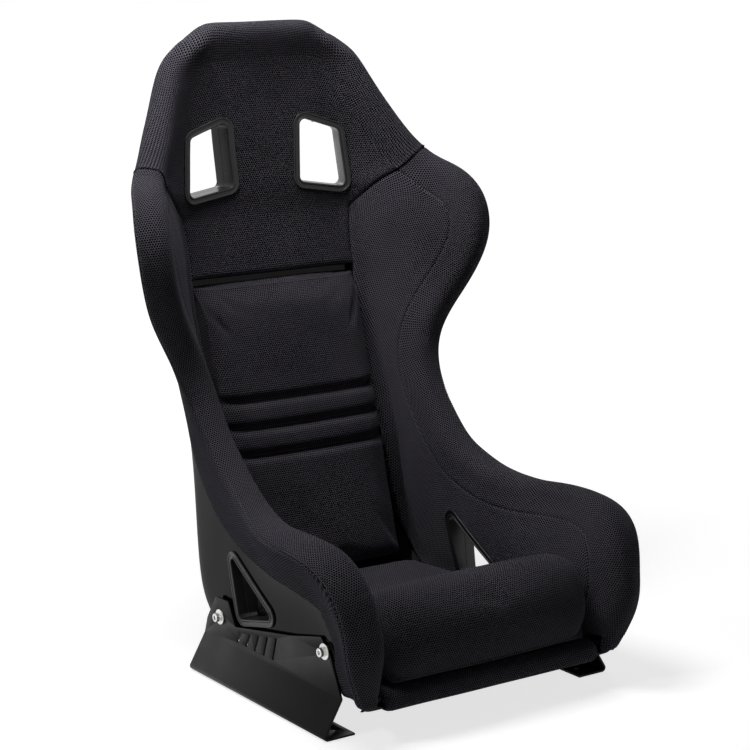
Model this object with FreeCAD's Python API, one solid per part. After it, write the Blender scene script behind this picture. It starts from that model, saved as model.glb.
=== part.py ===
import FreeCAD, Part
import math
import os

# Fixed-back bucket seat: a moulded shell, glued-on padding with fabric covers, three loose
# cushions, belt-slot bezels and a pair of folded side mounts.
# Millimetres.  +Z is up, the sitter faces -Y, and +X is to the right seen from the front.
# The origin lies on the floor, midway between the two side mounts.

# ---------------------------------------------------------------- driving sizes
SHELL_WALL = 4.5            # moulded wall of the shell
FIT_GAP = 0.4               # air between a cover or a cushion and what it lies on
PAD_GAP = 0.7               # air between the padding's foam and the shell
COVER_GAP = 0.8             # air between a foam and its cover
COVER = 2.0                 # mesh fabric with its backing
BASE_HEIGHT = 46.0          # underside of the shell above the floor
HIP_HALF_WIDTH = 213.0      # outside of the shell wall between the side mounts
HEAD_TOP = 934.0            # top edge of the shell
HEAD_FOOT = 686.0           # height at which the back turns into the head

PANEL_PAD = 24.0            # padding on the upper back, shell to fabric
HEAD_PAD = 30.0             # padding on the head
WALL_PAD = 20.0             # padding low on the side walls
RIM_CROWN = 12.0            # padding that stands past the shell's edge
RIM_OUTSIDE = 8.5           # padding outside the shell at the rim
RIM_START = 42.0            # where the rim roll begins, measured in from the shell's edge
HEM_TUCK = 12.0             # how far the fabric reaches past the end of the rim foam
HEM_SHARE = 0.3             # the same as a share of a short wrap
SEAM_GAP = 0.3              # between two covers that meet at a seam

CUSHION_TOP = 546.0         # upper edge of the back cushion
CUSHION_BOTTOM = 126.0
CUSHION_SIDE_CLEAR = 69.0    # between the hip's half width and the cushion's, at its top
CUSHION_TAPER = 13.0         # how much narrower each side of the cushion is at its foot
CUSHION_TOP_HALF = HIP_HALF_WIDTH - CUSHION_SIDE_CLEAR
CUSHION_LOW_HALF = CUSHION_TOP_HALF - CUSHION_TAPER
CUSHION_FACE = 205.0        # face of the cushion at CUSHION_FACE_HEIGHT
CUSHION_FACE_HEIGHT = 250.0
RECLINE = 17.0              # degrees from upright
GROOVE_DEPTH = 8.0          # sewn channels across the back cushion
GROOVE_HALF = 9.0
GROOVE_HEIGHTS = (300.0, 340.0, 380.0)

SEAT_SIDE_CLEAR = 18.0      # between the side padding and the base cushions, at the floor
SEAT_PAD_HALF = HIP_HALF_WIDTH - WALL_PAD - SEAT_SIDE_CLEAR
SEAT_PAD_FRONT = -92.0
SEAT_PAD_REAR = 196.0
SEAT_PAD_FRONT_TOP = 126.0
SEAT_PAD_REAR_TOP = 106.0
ROLL_CREST = 204.0          # top of the thigh roll
ROLL_FRONT = -250.0
ROLL_FOOT = 86.0            # lower front edge of the thigh roll
CUSHION_GAP = 1.5           # between two loose cushions
STRIP_THICKNESS = 2.0       # hook-and-loop strip
STRIP_WIDTH = 50.0
STRIP_SPREAD = 70.0         # middle of each strip from the middle of the seat
CUSHION_CROWN = 6.0
PAD_END_DROP = 14.0         # how far the seat pad's ends fall
ROLL_END_PULL = 0.36        # how far the roll's ends draw in towards its core, as a share
ROLL_CORE = (-188.0, 128.0)
END_ROUND = 46.0            # length of the rounding at the ends of the base cushions
PAD_FOOT_HALF = SEAT_PAD_HALF - 9.0     # half width of the base cushions where they meet the shell
ROLL_RAMP = 35.0            # length of the slope behind the lip under the thigh roll

LIP_PAD = 34.0              # padded front lip above the shell
LIP_REACH = 12.0            # how far the lip's padding stands in front of the shell
LIP_UNDER = 4.0             # padding under the lip
LIP_TUCK = 60.0             # reach of the fabric under the base
LIP_HALF = SEAT_PAD_HALF + 4.0
LIP_ROOT = 40.0             # how far the lip's padding reaches back
LIP_SWELL = 1.0             # swell of a rim's padding before it turns over the edge

BEZEL_LIP = 11.0            # flange of a bezel round its opening
BEZEL_FLANGE = 3.0
BEZEL_WALL = 2.2
BEZEL_SEAT = 0.2            # between a flange and the surface under it
HARNESS_YAW = 16.5          # degrees that each harness slot faces inwards
HARNESS_CENTRE = (97.8, 326.9, HEAD_FOOT + 0.207 * (HEAD_TOP - HEAD_FOOT))
HARNESS_CORNERS = ((-34.5, 57.8), (-38.0, -41.5), (40.5, -54.5), (30.5, 35.8))
HARNESS_RADIUS = 9.0
LAP_CORNERS = ((106.0, 194.0), (-11.0, 120.0), (89.0, 97.0))
LAP_RADIUS = 7.0

PLATE = 3.0                 # steel of the side mounts
MOUNT_FACE = HIP_HALF_WIDTH + PLATE + 0.5   # outer face of the upright plate
MOUNT_LENGTH = 376.0
MOUNT_BEND = 54.0           # height of the upper bend
MOUNT_FOOT = MOUNT_FACE + 32.1          # outermost edge of the foot
FLANGE_WIDTH = 53.6
FLOOR_HOLE_X = MOUNT_FACE - 4.5
FLOOR_HOLE_Y = 160.0
FLOOR_HOLE = 4.25
BOLT_FRONT = (-150.0, 112.6)
BOLT_REAR = (139.0, 89.0)
BOLT_SHANK = 4.0            # M8
BOLT_LENGTH = 10.5          # of shank behind the washer
BOLT_HEAD_RADIUS = 6.5
BOLT_HEAD = 8.0
SOCKET_FLATS = 6.0
SOCKET_DEPTH = 4.5
WASHER_RADIUS = 11.5
WASHER = 2.0
INSERT_RADIUS = 9.0
BOSS_RADIUS = 17.0
ADJUST_SLOT = 4.0           # width of the slots cut in the upright plate
ADJUST_COUNT = 5
ADJUST_FIRST = 90.0         # foot of the rearmost slot
ADJUST_PITCH = 25.0
ADJUST_LEAN = 11.0
ADJUST_STEP = 4.5
BOLT_CLEARANCE = 0.3
BEND_RADIUS = 3.0           # inside radius of the folds
MOUNT_TOP = 140.0           # the plate is cut from stock this high
MOUNT_CORNER = 5.0

# ---------------------------------------------------------------- the shell's stations
def head_z(share):
    """Height of a point of the head, from its foot (0) to the shell's top edge (1)."""
    return HEAD_FOOT + share * (HEAD_TOP - HEAD_FOOT)


# From the front lip to the head: position, spine y and z, rim x, y and z, half width where the
# floor or back starts to turn up, softness of that turn, half width low and high on the wall,
# share of the wall's height at the low point, depth of the rim padding, reach of the fabric
# down the outside.  Half widths are counted from HIP_HALF_WIDTH.
STATIONS = (
    (0.0, -238.0, BASE_HEIGHT + 3.0, 1.0, -236.0, 54.0, -7.0, 22.0, -2.0, 0.0, 0.50, 25.0, 62.0),
    (1.0, -196.0, BASE_HEIGHT + 1.0, 23.0, -250.0, 112.0, -9.0, 30.0, -3.0, 6.0, 0.40, 40.0, 76.0),
    (2.0, -154.0, BASE_HEIGHT, 31.0, -250.0, 165.0, -8.0, 36.0, -2.5, 7.0, 0.40, 46.0, 92.0),
    (4.0, -80.0, BASE_HEIGHT, 44.0, -203.0, 240.0, -7.5, 40.0, -2.5, 5.0, 0.36, 48.0, 96.0),
    (6.0, 0.0, BASE_HEIGHT, 34.0, -72.0, 248.0, -7.0, 44.0, -2.0, 4.0, 0.34, 44.0, 66.0),
    (8.0, 112.0, BASE_HEIGHT + 0.2, 10.0, 45.0, 267.0, -7.0, 48.0, -2.0, 1.0, 0.30, 42.0, 64.0),
    (8.5, 149.0, BASE_HEIGHT + 0.4, 5.0, 71.0, 278.0, -7.0, 50.0, -3.0, 1.0, 0.28, 41.0, 66.0),
    (9.0, 188.0, 55.0, 1.0, 97.0, 291.0, -8.0, 52.0, -5.0, -1.0, 0.28, 40.0, 68.0),
    (9.5, 228.0, 88.0, -1.0, 121.0, 308.0, -11.0, 55.0, -7.0, -4.0, 0.28, 39.0, 70.0),
    (10.0, 248.0, 150.0, -1.0, 145.0, 330.0, -16.0, 58.0, -10.0, -7.0, 0.29, 38.0, 72.0),
    (11.0, 265.0, 285.0, 1.0, 188.0, 383.0, -25.0, 60.0, -14.0, -8.0, 0.32, 38.0, 76.0),
    (12.0, 295.0, 390.0, 10.0, 212.0, 436.0, -32.0, 60.0, -16.0, -4.0, 0.34, 38.0, 76.0),
    (14.0, 336.0, 530.0, 55.0, 203.0, 525.0, -42.0, 60.0, -10.0, 25.0, 0.34, 40.0, 72.0),
    (16.0, 349.0, 591.0, 85.0, 177.0, 615.0, -45.0, 60.0, -3.0, 49.0, 0.33, 40.0, 64.0),
    (18.0, 358.5, 646.0, 71.0, 218.0, 697.0, -49.0, 55.0, -4.0, 41.0, 0.33, 38.0, 52.0),
    (19.0, 363.0, HEAD_FOOT, 46.0, 264.0, head_z(0.145), -55.0, 50.0, -10.0, 24.0, 0.30, 36.0, 44.0),
    (20.0, 367.0, head_z(0.202), 15.0, 296.0, head_z(0.323), -65.0, 46.0, -27.0, -1.0, 0.26, 34.0, 38.0),
    (22.0, 371.0, head_z(0.629), -35.0, 338.0, head_z(0.702), -93.0, 40.0, -67.0, -46.0, 0.22, 32.0, 32.0),
    (23.0, 369.0, head_z(0.819), -58.0, 347.0, head_z(0.835), -107.0, 36.0, -84.0, -67.0, 0.22, 31.0, 30.0),
    (24.0, 360.0, HEAD_TOP, -94.0, 352.0, head_z(0.948), -131.0, 30.0, -111.0, -101.0, 0.26, 30.0, 28.0),
)
FIELDS = (
    "spine_y", "spine_z", "rim_x", "rim_y", "rim_z", "turn_x", "turn_soft",
    "low_x", "high_x", "low_share", "rim_pad", "tuck",
)
WIDTHS = ("rim_x", "turn_x", "low_x", "high_x")
FOOT_REACH = 1.5            # stations over which the rim's frame is squared up at the foot
FOOT_START = (1.0, 0.72)    # where the rim roll begins at the foot of the bolster
CORNER = 1.0                # stations each way over which the head's corner is rounded
CORNER_START = (23.0, 0.70)  # aim point for the start of the rim roll at that corner
STRIDE = 7.0                # step of the walk in from the rim
STRIDES = 13
HIGH_SHARE = 0.68           # share of the wall's height at the high point
LAST = STATIONS[-1][0]
TOP_STEPS = 3.0             # path length along half of the head's top edge, in stations

# Edge of the side padding: share of the section's half length at which it starts.
SIDE_SEAM = ((0.0, 0.66), (5.0, 0.64), (8.5, 0.64), (9.3, 0.60), (10.0, 0.52), (10.6, 0.482),
             (11.2, 0.47), (12.0, 0.48), (13.0, 0.507), (14.5, 0.54), (16.0, 0.545), (17.0, 0.555),
             (18.0, 0.58))
SHOULDER = 18.0             # station where the seam leaves the back and runs to the rim
NECK = 19.3                 # station where that seam meets the rim
NECK_MIDDLE = 19.5          # station of the same height on the middle line
EDGE_TRIM = 0.0018          # seam gap as a share of the section
NECK_TRIM = 0.03            # seam gap as a part of a station
SEAM_LAG_FROM = 15.0        # station from which the seam falls behind the rim
PANEL_FOOT = 14.7           # lower end of the upper back panel


# Layers of the padding: 0 foam against the shell, 1 foam's outer side, 2 cover's inner side,
# 3 fabric; each lies this far under the fabric.
LAYER_TRIM = {0: 0.0, 1: COVER + COVER_GAP, 2: COVER, 3: 0.0}
EDGE_GAP = 1.6              # air round the shell's edge under the foam
FOAM_EDGE = 0.9             # the foam's thickness where it runs out


# ---------------------------------------------------------------- curves and vectors
class Spline:
    """Natural cubic spline through (x, y) pairs."""

    def __init__(self, pairs):
        self.x = [pair[0] for pair in pairs]
        self.y = [pair[1] for pair in pairs]
        count = len(pairs)
        lower = [0.0] * count
        middle = [1.0] * count
        upper = [0.0] * count
        right = [0.0] * count
        for i in range(1, count - 1):
            before = self.x[i] - self.x[i - 1]
            after = self.x[i + 1] - self.x[i]
            lower[i] = before
            middle[i] = 2.0 * (before + after)
            upper[i] = after
            rise = (self.y[i + 1] - self.y[i]) / after - (self.y[i] - self.y[i - 1]) / before
            right[i] = 6.0 * rise
        for i in range(1, count):
            weight = lower[i] / middle[i - 1]
            middle[i] -= weight * upper[i - 1]
            right[i] -= weight * right[i - 1]
        self.bend = [0.0] * count
        for i in range(count - 2, 0, -1):
            self.bend[i] = (right[i] - upper[i] * self.bend[i + 1]) / middle[i]

    def __call__(self, at):
        i = 0
        while i < len(self.x) - 2 and at > self.x[i + 1]:
            i += 1
        span = self.x[i + 1] - self.x[i]
        a = (self.x[i + 1] - at) / span
        b = 1.0 - a
        curve = (a ** 3 - a) * self.bend[i] + (b ** 3 - b) * self.bend[i + 1]
        return a * self.y[i] + b * self.y[i + 1] + curve * span * span / 6.0


def vector(x, y, z):
    return FreeCAD.Vector(x, y, z)


def unit(v):
    return v * (1.0 / v.Length)


def mix(a, b, share):
    return a + (b - a) * share


def smooth(share):
    share = min(max(share, 0.0), 1.0)
    return share * share * (3.0 - 2.0 * share)


def b_spline_point(control, share):
    """Point at `share` (0 to 1) of a clamped cubic B-spline with even knots."""
    degree = 3
    spans = len(control) - degree
    knots = [0.0] * degree + [i / spans for i in range(spans + 1)] + [1.0] * degree
    share = min(max(share, 0.0), 1.0)
    first = min(int(share * spans), spans - 1)
    active = [control[first + j] for j in range(degree + 1)]
    top = first + degree
    for r in range(1, degree + 1):
        for j in range(degree, r - 1, -1):
            i = j + top - degree
            width = knots[i + degree - r + 1] - knots[i]
            weight = (share - knots[i]) / width if width > 0.0 else 0.0
            active[j] = mix(active[j - 1], active[j], weight)
    return active[degree]


def station_value(row, column):
    """A value of the station table; widths are measured from the hips."""
    base = HIP_HALF_WIDTH if FIELDS[column] in WIDTHS else 0.0
    return base + row[column + 1]


CURVES = {
    name: Spline([(row[0], station_value(row, column)) for row in STATIONS])
    for column, name in enumerate(FIELDS)
}
SEAM_CURVE = Spline(SIDE_SEAM)


# ---------------------------------------------------------------- the shell's surface
def shell_point(s, v):
    """Outer face of the shell at station s; v runs from -1 (left rim) to 1 (right rim)."""
    size = {name: curve(s) for name, curve in CURVES.items()}
    run_y = size["rim_y"] - size["spine_y"]
    run_z = size["rim_z"] - size["spine_z"]
    height = math.hypot(run_y, run_z)
    half = [
        (0.45 * size["turn_x"], 0.0),
        (size["turn_x"] - size["turn_soft"], 0.0),
        (size["turn_x"], 0.0),
        (size["low_x"], size["low_share"] * height),
        (size["high_x"], HIGH_SHARE * height),
        (size["rim_x"], height),
    ]
    profile = [(-x, n) for x, n in reversed(half)] + [(0.0, 0.0)] + half
    control = [
        vector(x, size["spine_y"] + run_y * n / height, size["spine_z"] + run_z * n / height)
        for x, n in profile
    ]
    return b_spline_point(control, 0.5 * (v + 1.0))


def inward(s, v):
    """Unit normal of the shell, towards the sitter."""
    step = 0.02
    s_low, s_high = max(s - step, 0.0), min(s + step, LAST)
    v_low, v_high = max(v - step, -1.0), min(v + step, 1.0)
    along = shell_point(s_high, v) - shell_point(s_low, v)
    across = shell_point(s, v_high) - shell_point(s, v_low)
    return unit(across.cross(along))


def layer_point(s, v, depth):
    """Point at `depth` inside the shell's outer face."""
    return shell_point(s, v) + inward(s, v) * depth


def half_width_share(s, x):
    """Share v at which the shell's outer face is x from the middle."""
    low, high = 0.0, 1.0
    for _ in range(30):
        middle = 0.5 * (low + high)
        if shell_point(s, middle).x < x:
            low = middle
        else:
            high = middle
    return 0.5 * (low + high)


# ---------------------------------------------------------------- solids from point grids
def chord_parameters(points):
    total = [0.0]
    for a, b in zip(points, points[1:]):
        total.append(total[-1] + (b - a).Length)
    return [value / total[-1] for value in total]


def poles_through(points, parameters):
    curve = Part.BSplineCurve()
    curve.interpolate(Points=points, Parameters=parameters)
    return curve


def grid_face(grid, row_parameters, column_parameters):
    """B-spline face through a grid of points; its edges depend only on the edge points."""
    columns = [poles_through(list(points), row_parameters) for points in zip(*grid)]
    pole_rows = list(zip(*[curve.getPoles() for curve in columns]))
    rows = [poles_through(list(points), column_parameters) for points in pole_rows]
    surface = Part.BSplineSurface()
    surface.buildFromPolesMultsKnots(
        [curve.getPoles() for curve in rows],
        columns[0].getMultiplicities(), rows[0].getMultiplicities(),
        columns[0].getKnots(), rows[0].getKnots(),
        False, False, 3, 3,
    )
    return surface.toShape()


def wall_face(top_points, bottom_points, parameters):
    """Ruled face between two matching edges of a top and a bottom grid."""
    top = poles_through(top_points, parameters)
    bottom = poles_through(bottom_points, parameters)
    surface = Part.BSplineSurface()
    surface.buildFromPolesMultsKnots(
        [top.getPoles(), bottom.getPoles()],
        [2, 2], top.getMultiplicities(), [0.0, 1.0], top.getKnots(),
        False, False, 1, 3,
    )
    return surface.toShape()


def solid_from_faces(faces):
    joined = Part.makeCompound(faces)
    joined.sewShape(0.01)
    shell = joined if joined.ShapeType == "Shell" else joined.Shells[0]
    solid = Part.Solid(shell)
    if solid.Volume < 0.0:
        solid.reverse()
    return solid


def edge_key(points):
    ends = [tuple(round(c, 2) for c in (p.x, p.y, p.z)) for p in (points[0], points[-1])]
    middle = points[len(points) // 2]
    if len(points) % 2 == 0:
        middle = (points[len(points) // 2 - 1] + middle) * 0.5
    return tuple(sorted(ends)) + (tuple(round(c, 2) for c in (middle.x, middle.y, middle.z)),)


def patchwork(patches):
    """Solid between pairs of grids.  Each patch is (top, bottom, row and column parameters);
    neighbours share the points of their common edge, and free edges get a wall."""
    faces = []
    borders = {}
    for top, bottom, rows, columns in patches:
        faces.append(grid_face(top, rows, columns))
        faces.append(grid_face(bottom, rows, columns))
        pairs = (
            (top[0], bottom[0], columns),
            (top[-1], bottom[-1], columns),
            ([row[0] for row in top], [row[0] for row in bottom], rows),
            ([row[-1] for row in top], [row[-1] for row in bottom], rows),
        )
        for upper, lower, parameters in pairs:
            borders.setdefault(edge_key(upper), []).append((upper, lower, parameters))
    for found in borders.values():
        if len(found) == 1:
            faces.append(wall_face(list(found[0][0]), list(found[0][1]), found[0][2]))
    return solid_from_faces(faces)


def block(top, bottom):
    rows = chord_parameters([row[len(row) // 2] for row in top])
    columns = chord_parameters(list(top[len(top) // 2]))
    return patchwork([(top, bottom, rows, columns)])


def layer_block(s_range, v_range, inner_depth, outer_depth, steps):
    """Block between two depths over a rectangle of the shell's surface."""
    stations = spaced(s_range[0], s_range[1], steps[0])
    shares = spaced(v_range[0], v_range[1], steps[1])
    grids = [
        [[layer_point(s, v, depth) for v in shares] for s in stations]
        for depth in (outer_depth, inner_depth)
    ]
    return block(grids[0], grids[1])


def spaced(first, last, count):
    return [first + (last - first) * i / (count - 1) for i in range(count)]


# ---------------------------------------------------------------- the rim and its padding
TRAILS = {}


def rim_param(t):
    """Station and share of the rim path: up the right side, then along the head's top edge."""
    if t <= LAST:
        return t, 1.0
    return LAST, 1.0 - (t - LAST) / TOP_STEPS


def rim_raw(t):
    s, v = rim_param(t)
    step = 0.05
    before = shell_point(*rim_param(max(t - step, 0.0)))
    after_t = min(t + step, LAST + TOP_STEPS)
    after = shell_point(*rim_param(after_t))
    along = unit(after - before)
    normal = inward(max(s, FOOT_REACH), v)
    outward = unit(along.cross(normal))
    if t < FOOT_REACH:
        share = smooth(t / FOOT_REACH)
        normal = unit(mix(vector(-1.0, 0.0, 0.0), normal, share))
        outward = unit(mix(vector(0.0, -1.0, 0.0), outward, share))
    return shell_point(s, v), normal, outward


def rim_frame(t):
    """Edge point, inward normal and outward direction; rounded off at the head's corner."""
    reach = max(1.3 - abs(t - LAST), 0.0)
    if reach == 0.0:
        return rim_raw(t)
    count = 7
    frames = [rim_raw(min(t + reach * (2.0 * i / (count - 1) - 1.0), LAST + TOP_STEPS))
              for i in range(count)]
    total = [FreeCAD.Vector(), FreeCAD.Vector(), FreeCAD.Vector()]
    for frame in frames:
        total = [a + b for a, b in zip(total, frame)]
    return total[0] * (1.0 / count), unit(total[1]), unit(total[2])


def rim_trail(t):
    """Stations and shares met when walking in from the rim, one stride apart."""
    key = round(t, 6)
    if key in TRAILS:
        return TRAILS[key]
    s, v = rim_param(t)
    outward = rim_frame(t)[2]
    step = 0.02
    trail = [(s, v)]
    for _ in range(STRIDES):
        s_low, s_high = max(s - step, 0.0), min(s + step, LAST)
        v_low, v_high = v - step, min(v + step, 1.0)
        along = (shell_point(s_high, v) - shell_point(s_low, v)) * (1.0 / (s_high - s_low))
        across = (shell_point(s, v_high) - shell_point(s, v_low)) * (1.0 / (v_high - v_low))
        normal = unit(across.cross(along))
        inwards = unit(normal * outward.dot(normal) - outward) * STRIDE
        aa, ab, bb = along.dot(along), along.dot(across), across.dot(across)
        ga, gb = inwards.dot(along), inwards.dot(across)
        scale = aa * bb - ab * ab
        s = min(max(s + (ga * bb - gb * ab) / scale, 0.0), LAST)
        v = v + (gb * aa - ga * ab) / scale
        trail.append((s, v))
    TRAILS[key] = trail
    return trail


def along_trail(trail, distance):
    at = min(distance / STRIDE, STRIDES - 1e-6)
    i = int(at)
    return tuple(mix(a, b, at - i) for a, b in zip(trail[i], trail[i + 1]))


def rim_walk(t, distance):
    """Station and share at a distance in from the rim."""
    if t < 1.0 - 1e-6:
        foot = tuple(mix(a, b, distance / RIM_START) for a, b in zip(rim_param(0.0), FOOT_START))
        above = rim_walk(1.0, distance)
        return tuple(mix(a, b, t) for a, b in zip(foot, above))
    reach = t - (LAST - CORNER)
    if 1e-6 < reach < 2.0 * CORNER - 1e-6:
        share = reach / (2.0 * CORNER)
        first = rim_walk(LAST - CORNER, distance)
        last = rim_walk(LAST + CORNER, distance)
        aim = tuple(mix(a, b, distance / RIM_START) for a, b in zip(rim_param(LAST), CORNER_START))
        return tuple(
            mix(mix(a, b, share), mix(b, c, share), share) for a, b, c in zip(first, aim, last)
        )
    return along_trail(rim_trail(t), distance)


def rim_start(t):
    """Station and share where the rim roll begins."""
    return rim_walk(t, RIM_START)


def hook_profile(layer, start, pad, crown, outside, tuck):
    """Hook-shaped section round an edge of the shell, as (outward, inward) pairs after its
    start.  Layers: 0 foam against the shell, 1 foam's outer side, 2 cover's inner side,
    3 fabric."""
    foam_end = min(HEM_TUCK, HEM_SHARE * tuck) - tuck
    midway = 0.5 * (foam_end - 5.0)
    if layer == 0:
        inner = SHELL_WALL + PAD_GAP
        return [
            (-0.5 * start, inner), (-6.0, inner + 0.2), (0.8 * EDGE_GAP, inner + 0.9),
            (EDGE_GAP, 0.75 * SHELL_WALL), (EDGE_GAP, 0.25 * SHELL_WALL),
            (0.8 * EDGE_GAP, -EDGE_GAP), (-5.0, -0.8 * EDGE_GAP), (midway, -PAD_GAP),
            (foam_end, -PAD_GAP),
        ]
    thin = LAYER_TRIM[layer]
    crown -= thin
    outside -= thin
    depth = pad - thin
    late = 0.8 * outside
    foam_side = PAD_GAP + FOAM_EDGE
    ending = {
        1: [(foam_end, -foam_side)],
        2: [(foam_end, -foam_side - COVER_GAP), (-tuck, -FIT_GAP)],
        3: [(foam_end, -foam_side - COVER_GAP - COVER), (-tuck, -FIT_GAP - COVER)],
    }[layer]
    return [
        (-0.45 * start, depth + LIP_SWELL), (0.25 * crown, depth - 2.0),
        (0.85 * crown, 0.75 * depth), (crown, 0.45 * depth), (0.95 * crown, 0.1 * depth),
        (0.55 * crown, -0.6 * outside), (-5.0, -outside), (midway, -late),
    ] + ending


def rim_profile(t, layer):
    s = min(t, LAST)
    pad = CURVES["rim_pad"](s)
    tuck = CURVES["tuck"](s)
    return hook_profile(layer, RIM_START, pad, RIM_CROWN, RIM_OUTSIDE, tuck)


def hook_points(frame, walk, pairs):
    """Points of a hook profile: past the edge in its frame, elsewhere on the shell."""
    edge, normal, outward = frame
    points = []
    for out, up in pairs:
        if out >= 0.0:
            points.append(edge + outward * out + normal * up)
        else:
            s, v = walk(-out)
            points.append(layer_point(s, v, up))
    return points


def rim_roll(t, layer):
    """Points of the rim section, from just past its start to the hem."""
    return hook_points(rim_frame(t), lambda distance: rim_walk(t, distance),
                       rim_profile(t, layer))


# ---------------------------------------------------------------- side padding
PANEL_STEPS = 6


def seam_param(t):
    """Start of the side padding for rim path value t."""
    late = t - SEAM_LAG_FROM
    if late < 0.0:
        return t, SEAM_CURVE(t)
    span = NECK - SEAM_LAG_FROM
    lag = NECK - SHOULDER
    s = t - lag * (late / span) ** 2
    return s, SEAM_CURVE(s)


def seam_depth(s):
    return mix(WALL_PAD, PANEL_PAD, smooth((s - 9.0) / 5.0))


def side_panel_point(t, share, layer, lift=0.0):
    """Point of a side-padding layer between its seam (0) and the start of the rim roll (1)."""
    s_a, v_a = seam_param(t)
    s_b, v_b = rim_start(t)
    s, v = mix(s_a, s_b, share), mix(v_a, v_b, share)
    if layer == 0:
        return layer_point(s, v, SHELL_WALL + FIT_GAP + lift)
    depth = mix(seam_depth(s_a), CURVES["rim_pad"](min(t, LAST)), smooth(share))
    return layer_point(s, v, depth - LAYER_TRIM[layer] + lift)


def side_row(t, layer):
    panel = [side_panel_point(t, i / (PANEL_STEPS - 1.0), layer) for i in range(PANEL_STEPS)]
    return panel + rim_roll(t, layer)


def mirrored(solid):
    """The same solid on the left side."""
    return solid.mirror(FreeCAD.Vector(), vector(1.0, 0.0, 0.0))


def side_padding():
    rows = spaced(0.0, NECK, 40)
    foam = block([side_row(t, 1) for t in rows], [side_row(t, 0) for t in rows])
    cover = block([side_row(t, 3) for t in rows], [side_row(t, 2) for t in rows])
    return foam, cover


# ---------------------------------------------------------------- head and upper back padding
BACK_COLUMNS = 17
BACK_ROWS = (8, 6, 12)      # rows of the back, neck and head patches


def rim_time(w):
    """Rim path value on the head's top edge for w from -1 (left corner) to 1 (right)."""
    return LAST + TOP_STEPS * (1.0 - abs(w))


def head_depth(s):
    return mix(PANEL_PAD, HEAD_PAD, smooth((s - 17.0) / 4.0))


def back_param(u, w):
    """Station, share and fabric depth on the upper back and head.  u runs 0 at the foot,
    1 at the shoulders, 2 at the neck and 3 at the top; w from -1 to 1 across."""
    side = abs(w)
    sign = math.copysign(1.0, w)
    neck_s, neck_v = rim_start(NECK + NECK_TRIM)
    neck_pad = CURVES["rim_pad"](NECK)
    if u <= 1.0:
        s = mix(PANEL_FOOT, SHOULDER, u)
        return s, w * (SEAM_CURVE(s) - EDGE_TRIM), PANEL_PAD
    neck_line = mix(NECK_MIDDLE, neck_s, side * side)
    neck_depth = mix(head_depth(NECK_MIDDLE), neck_pad, smooth(side))
    if u <= 2.0:
        share = u - 1.0
        s = mix(SHOULDER, neck_line, share)
        v = mix(SEAM_CURVE(SHOULDER) - EDGE_TRIM, neck_v, share)
        return s, w * v, mix(PANEL_PAD, neck_depth, smooth(share))
    share = u - 2.0
    t = mix(NECK + NECK_TRIM, LAST, share)
    side_s, side_v = rim_start(t)
    corner_s, corner_v = rim_start(LAST)
    top_s, top_v = rim_start(rim_time(w))
    s = mix(neck_line, top_s, share) + side_s - mix(neck_s, corner_s, share)
    v = mix(neck_v * side, top_v, share) + side * (side_v - mix(neck_v, corner_v, share))
    middle = mix(head_depth(NECK_MIDDLE), HEAD_PAD, share)
    depth = mix(middle, CURVES["rim_pad"](t), smooth(side))
    return s, sign * v, depth


def back_point(u, w, layer, lift=0.0):
    s, v, depth = back_param(u, w)
    if layer == 0:
        return layer_point(s, v, SHELL_WALL + PAD_GAP + lift)
    return layer_point(s, v, depth - LAYER_TRIM[layer] + lift)


def flipped(point):
    return vector(-point.x, point.y, point.z)


def head_roll_row(t, start, layer, left):
    points = rim_roll(t, layer)
    if left:
        points = [flipped(point) for point in points]
    return [start] + points


def back_grids(layer):
    """Point grids of one layer: back, neck, head, then the rolls right, top and left."""
    shares = spaced(-1.0, 1.0, BACK_COLUMNS)
    grids = []
    for first, count in enumerate(BACK_ROWS):
        grids.append([[back_point(u, w, layer) for w in shares]
                      for u in spaced(first, first + 1.0, count)])
    head = grids[2]
    times = spaced(NECK + NECK_TRIM, LAST, BACK_ROWS[2])
    grids.append([head_roll_row(t, row[-1], layer, False) for t, row in zip(times, head)])
    grids.append([head_roll_row(rim_time(w), start, layer, w < 0.0)
                  for w, start in zip(shares, head[-1])])
    grids.append([head_roll_row(t, row[0], layer, True) for t, row in zip(times, head)])
    return grids


def back_layer_solid(outer_layer, inner_layer):
    outer = back_grids(outer_layer)
    inner = back_grids(inner_layer)
    middle = BACK_COLUMNS // 2
    across = chord_parameters(outer[2][-1])
    along = [chord_parameters([row[middle] for row in grid]) for grid in outer[:3]]
    hook = chord_parameters(outer[4][middle])
    rows = [along[0], along[1], along[2], along[2], across, along[2]]
    columns = [across, across, across, hook, hook, hook]
    return patchwork(list(zip(outer, inner, rows, columns)))


# ---------------------------------------------------------------- front lip
def lip_padding():
    share = half_width_share(0.0, LIP_HALF)
    shares = spaced(-share, share, 9)

    station_length = (shell_point(1.0, 0.0) - shell_point(0.0, 0.0)).Length

    def row(v, layer):
        inner = SHELL_WALL + PAD_GAP
        start = inner if layer == 0 else LIP_PAD - LAYER_TRIM[layer]
        pairs = [(-LIP_ROOT, start)]
        pairs += hook_profile(layer, LIP_ROOT, LIP_PAD, LIP_REACH, LIP_UNDER + COVER, LIP_TUCK)
        frame = (shell_point(0.0, v), vector(0.0, 0.0, 1.0), vector(0.0, -1.0, 0.0))
        return hook_points(frame, lambda distance: (distance / station_length, v), pairs)

    def rows(layer):
        return [row(v, layer) for v in shares]

    return block(rows(1), rows(0)), block(rows(3), rows(2))


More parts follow.
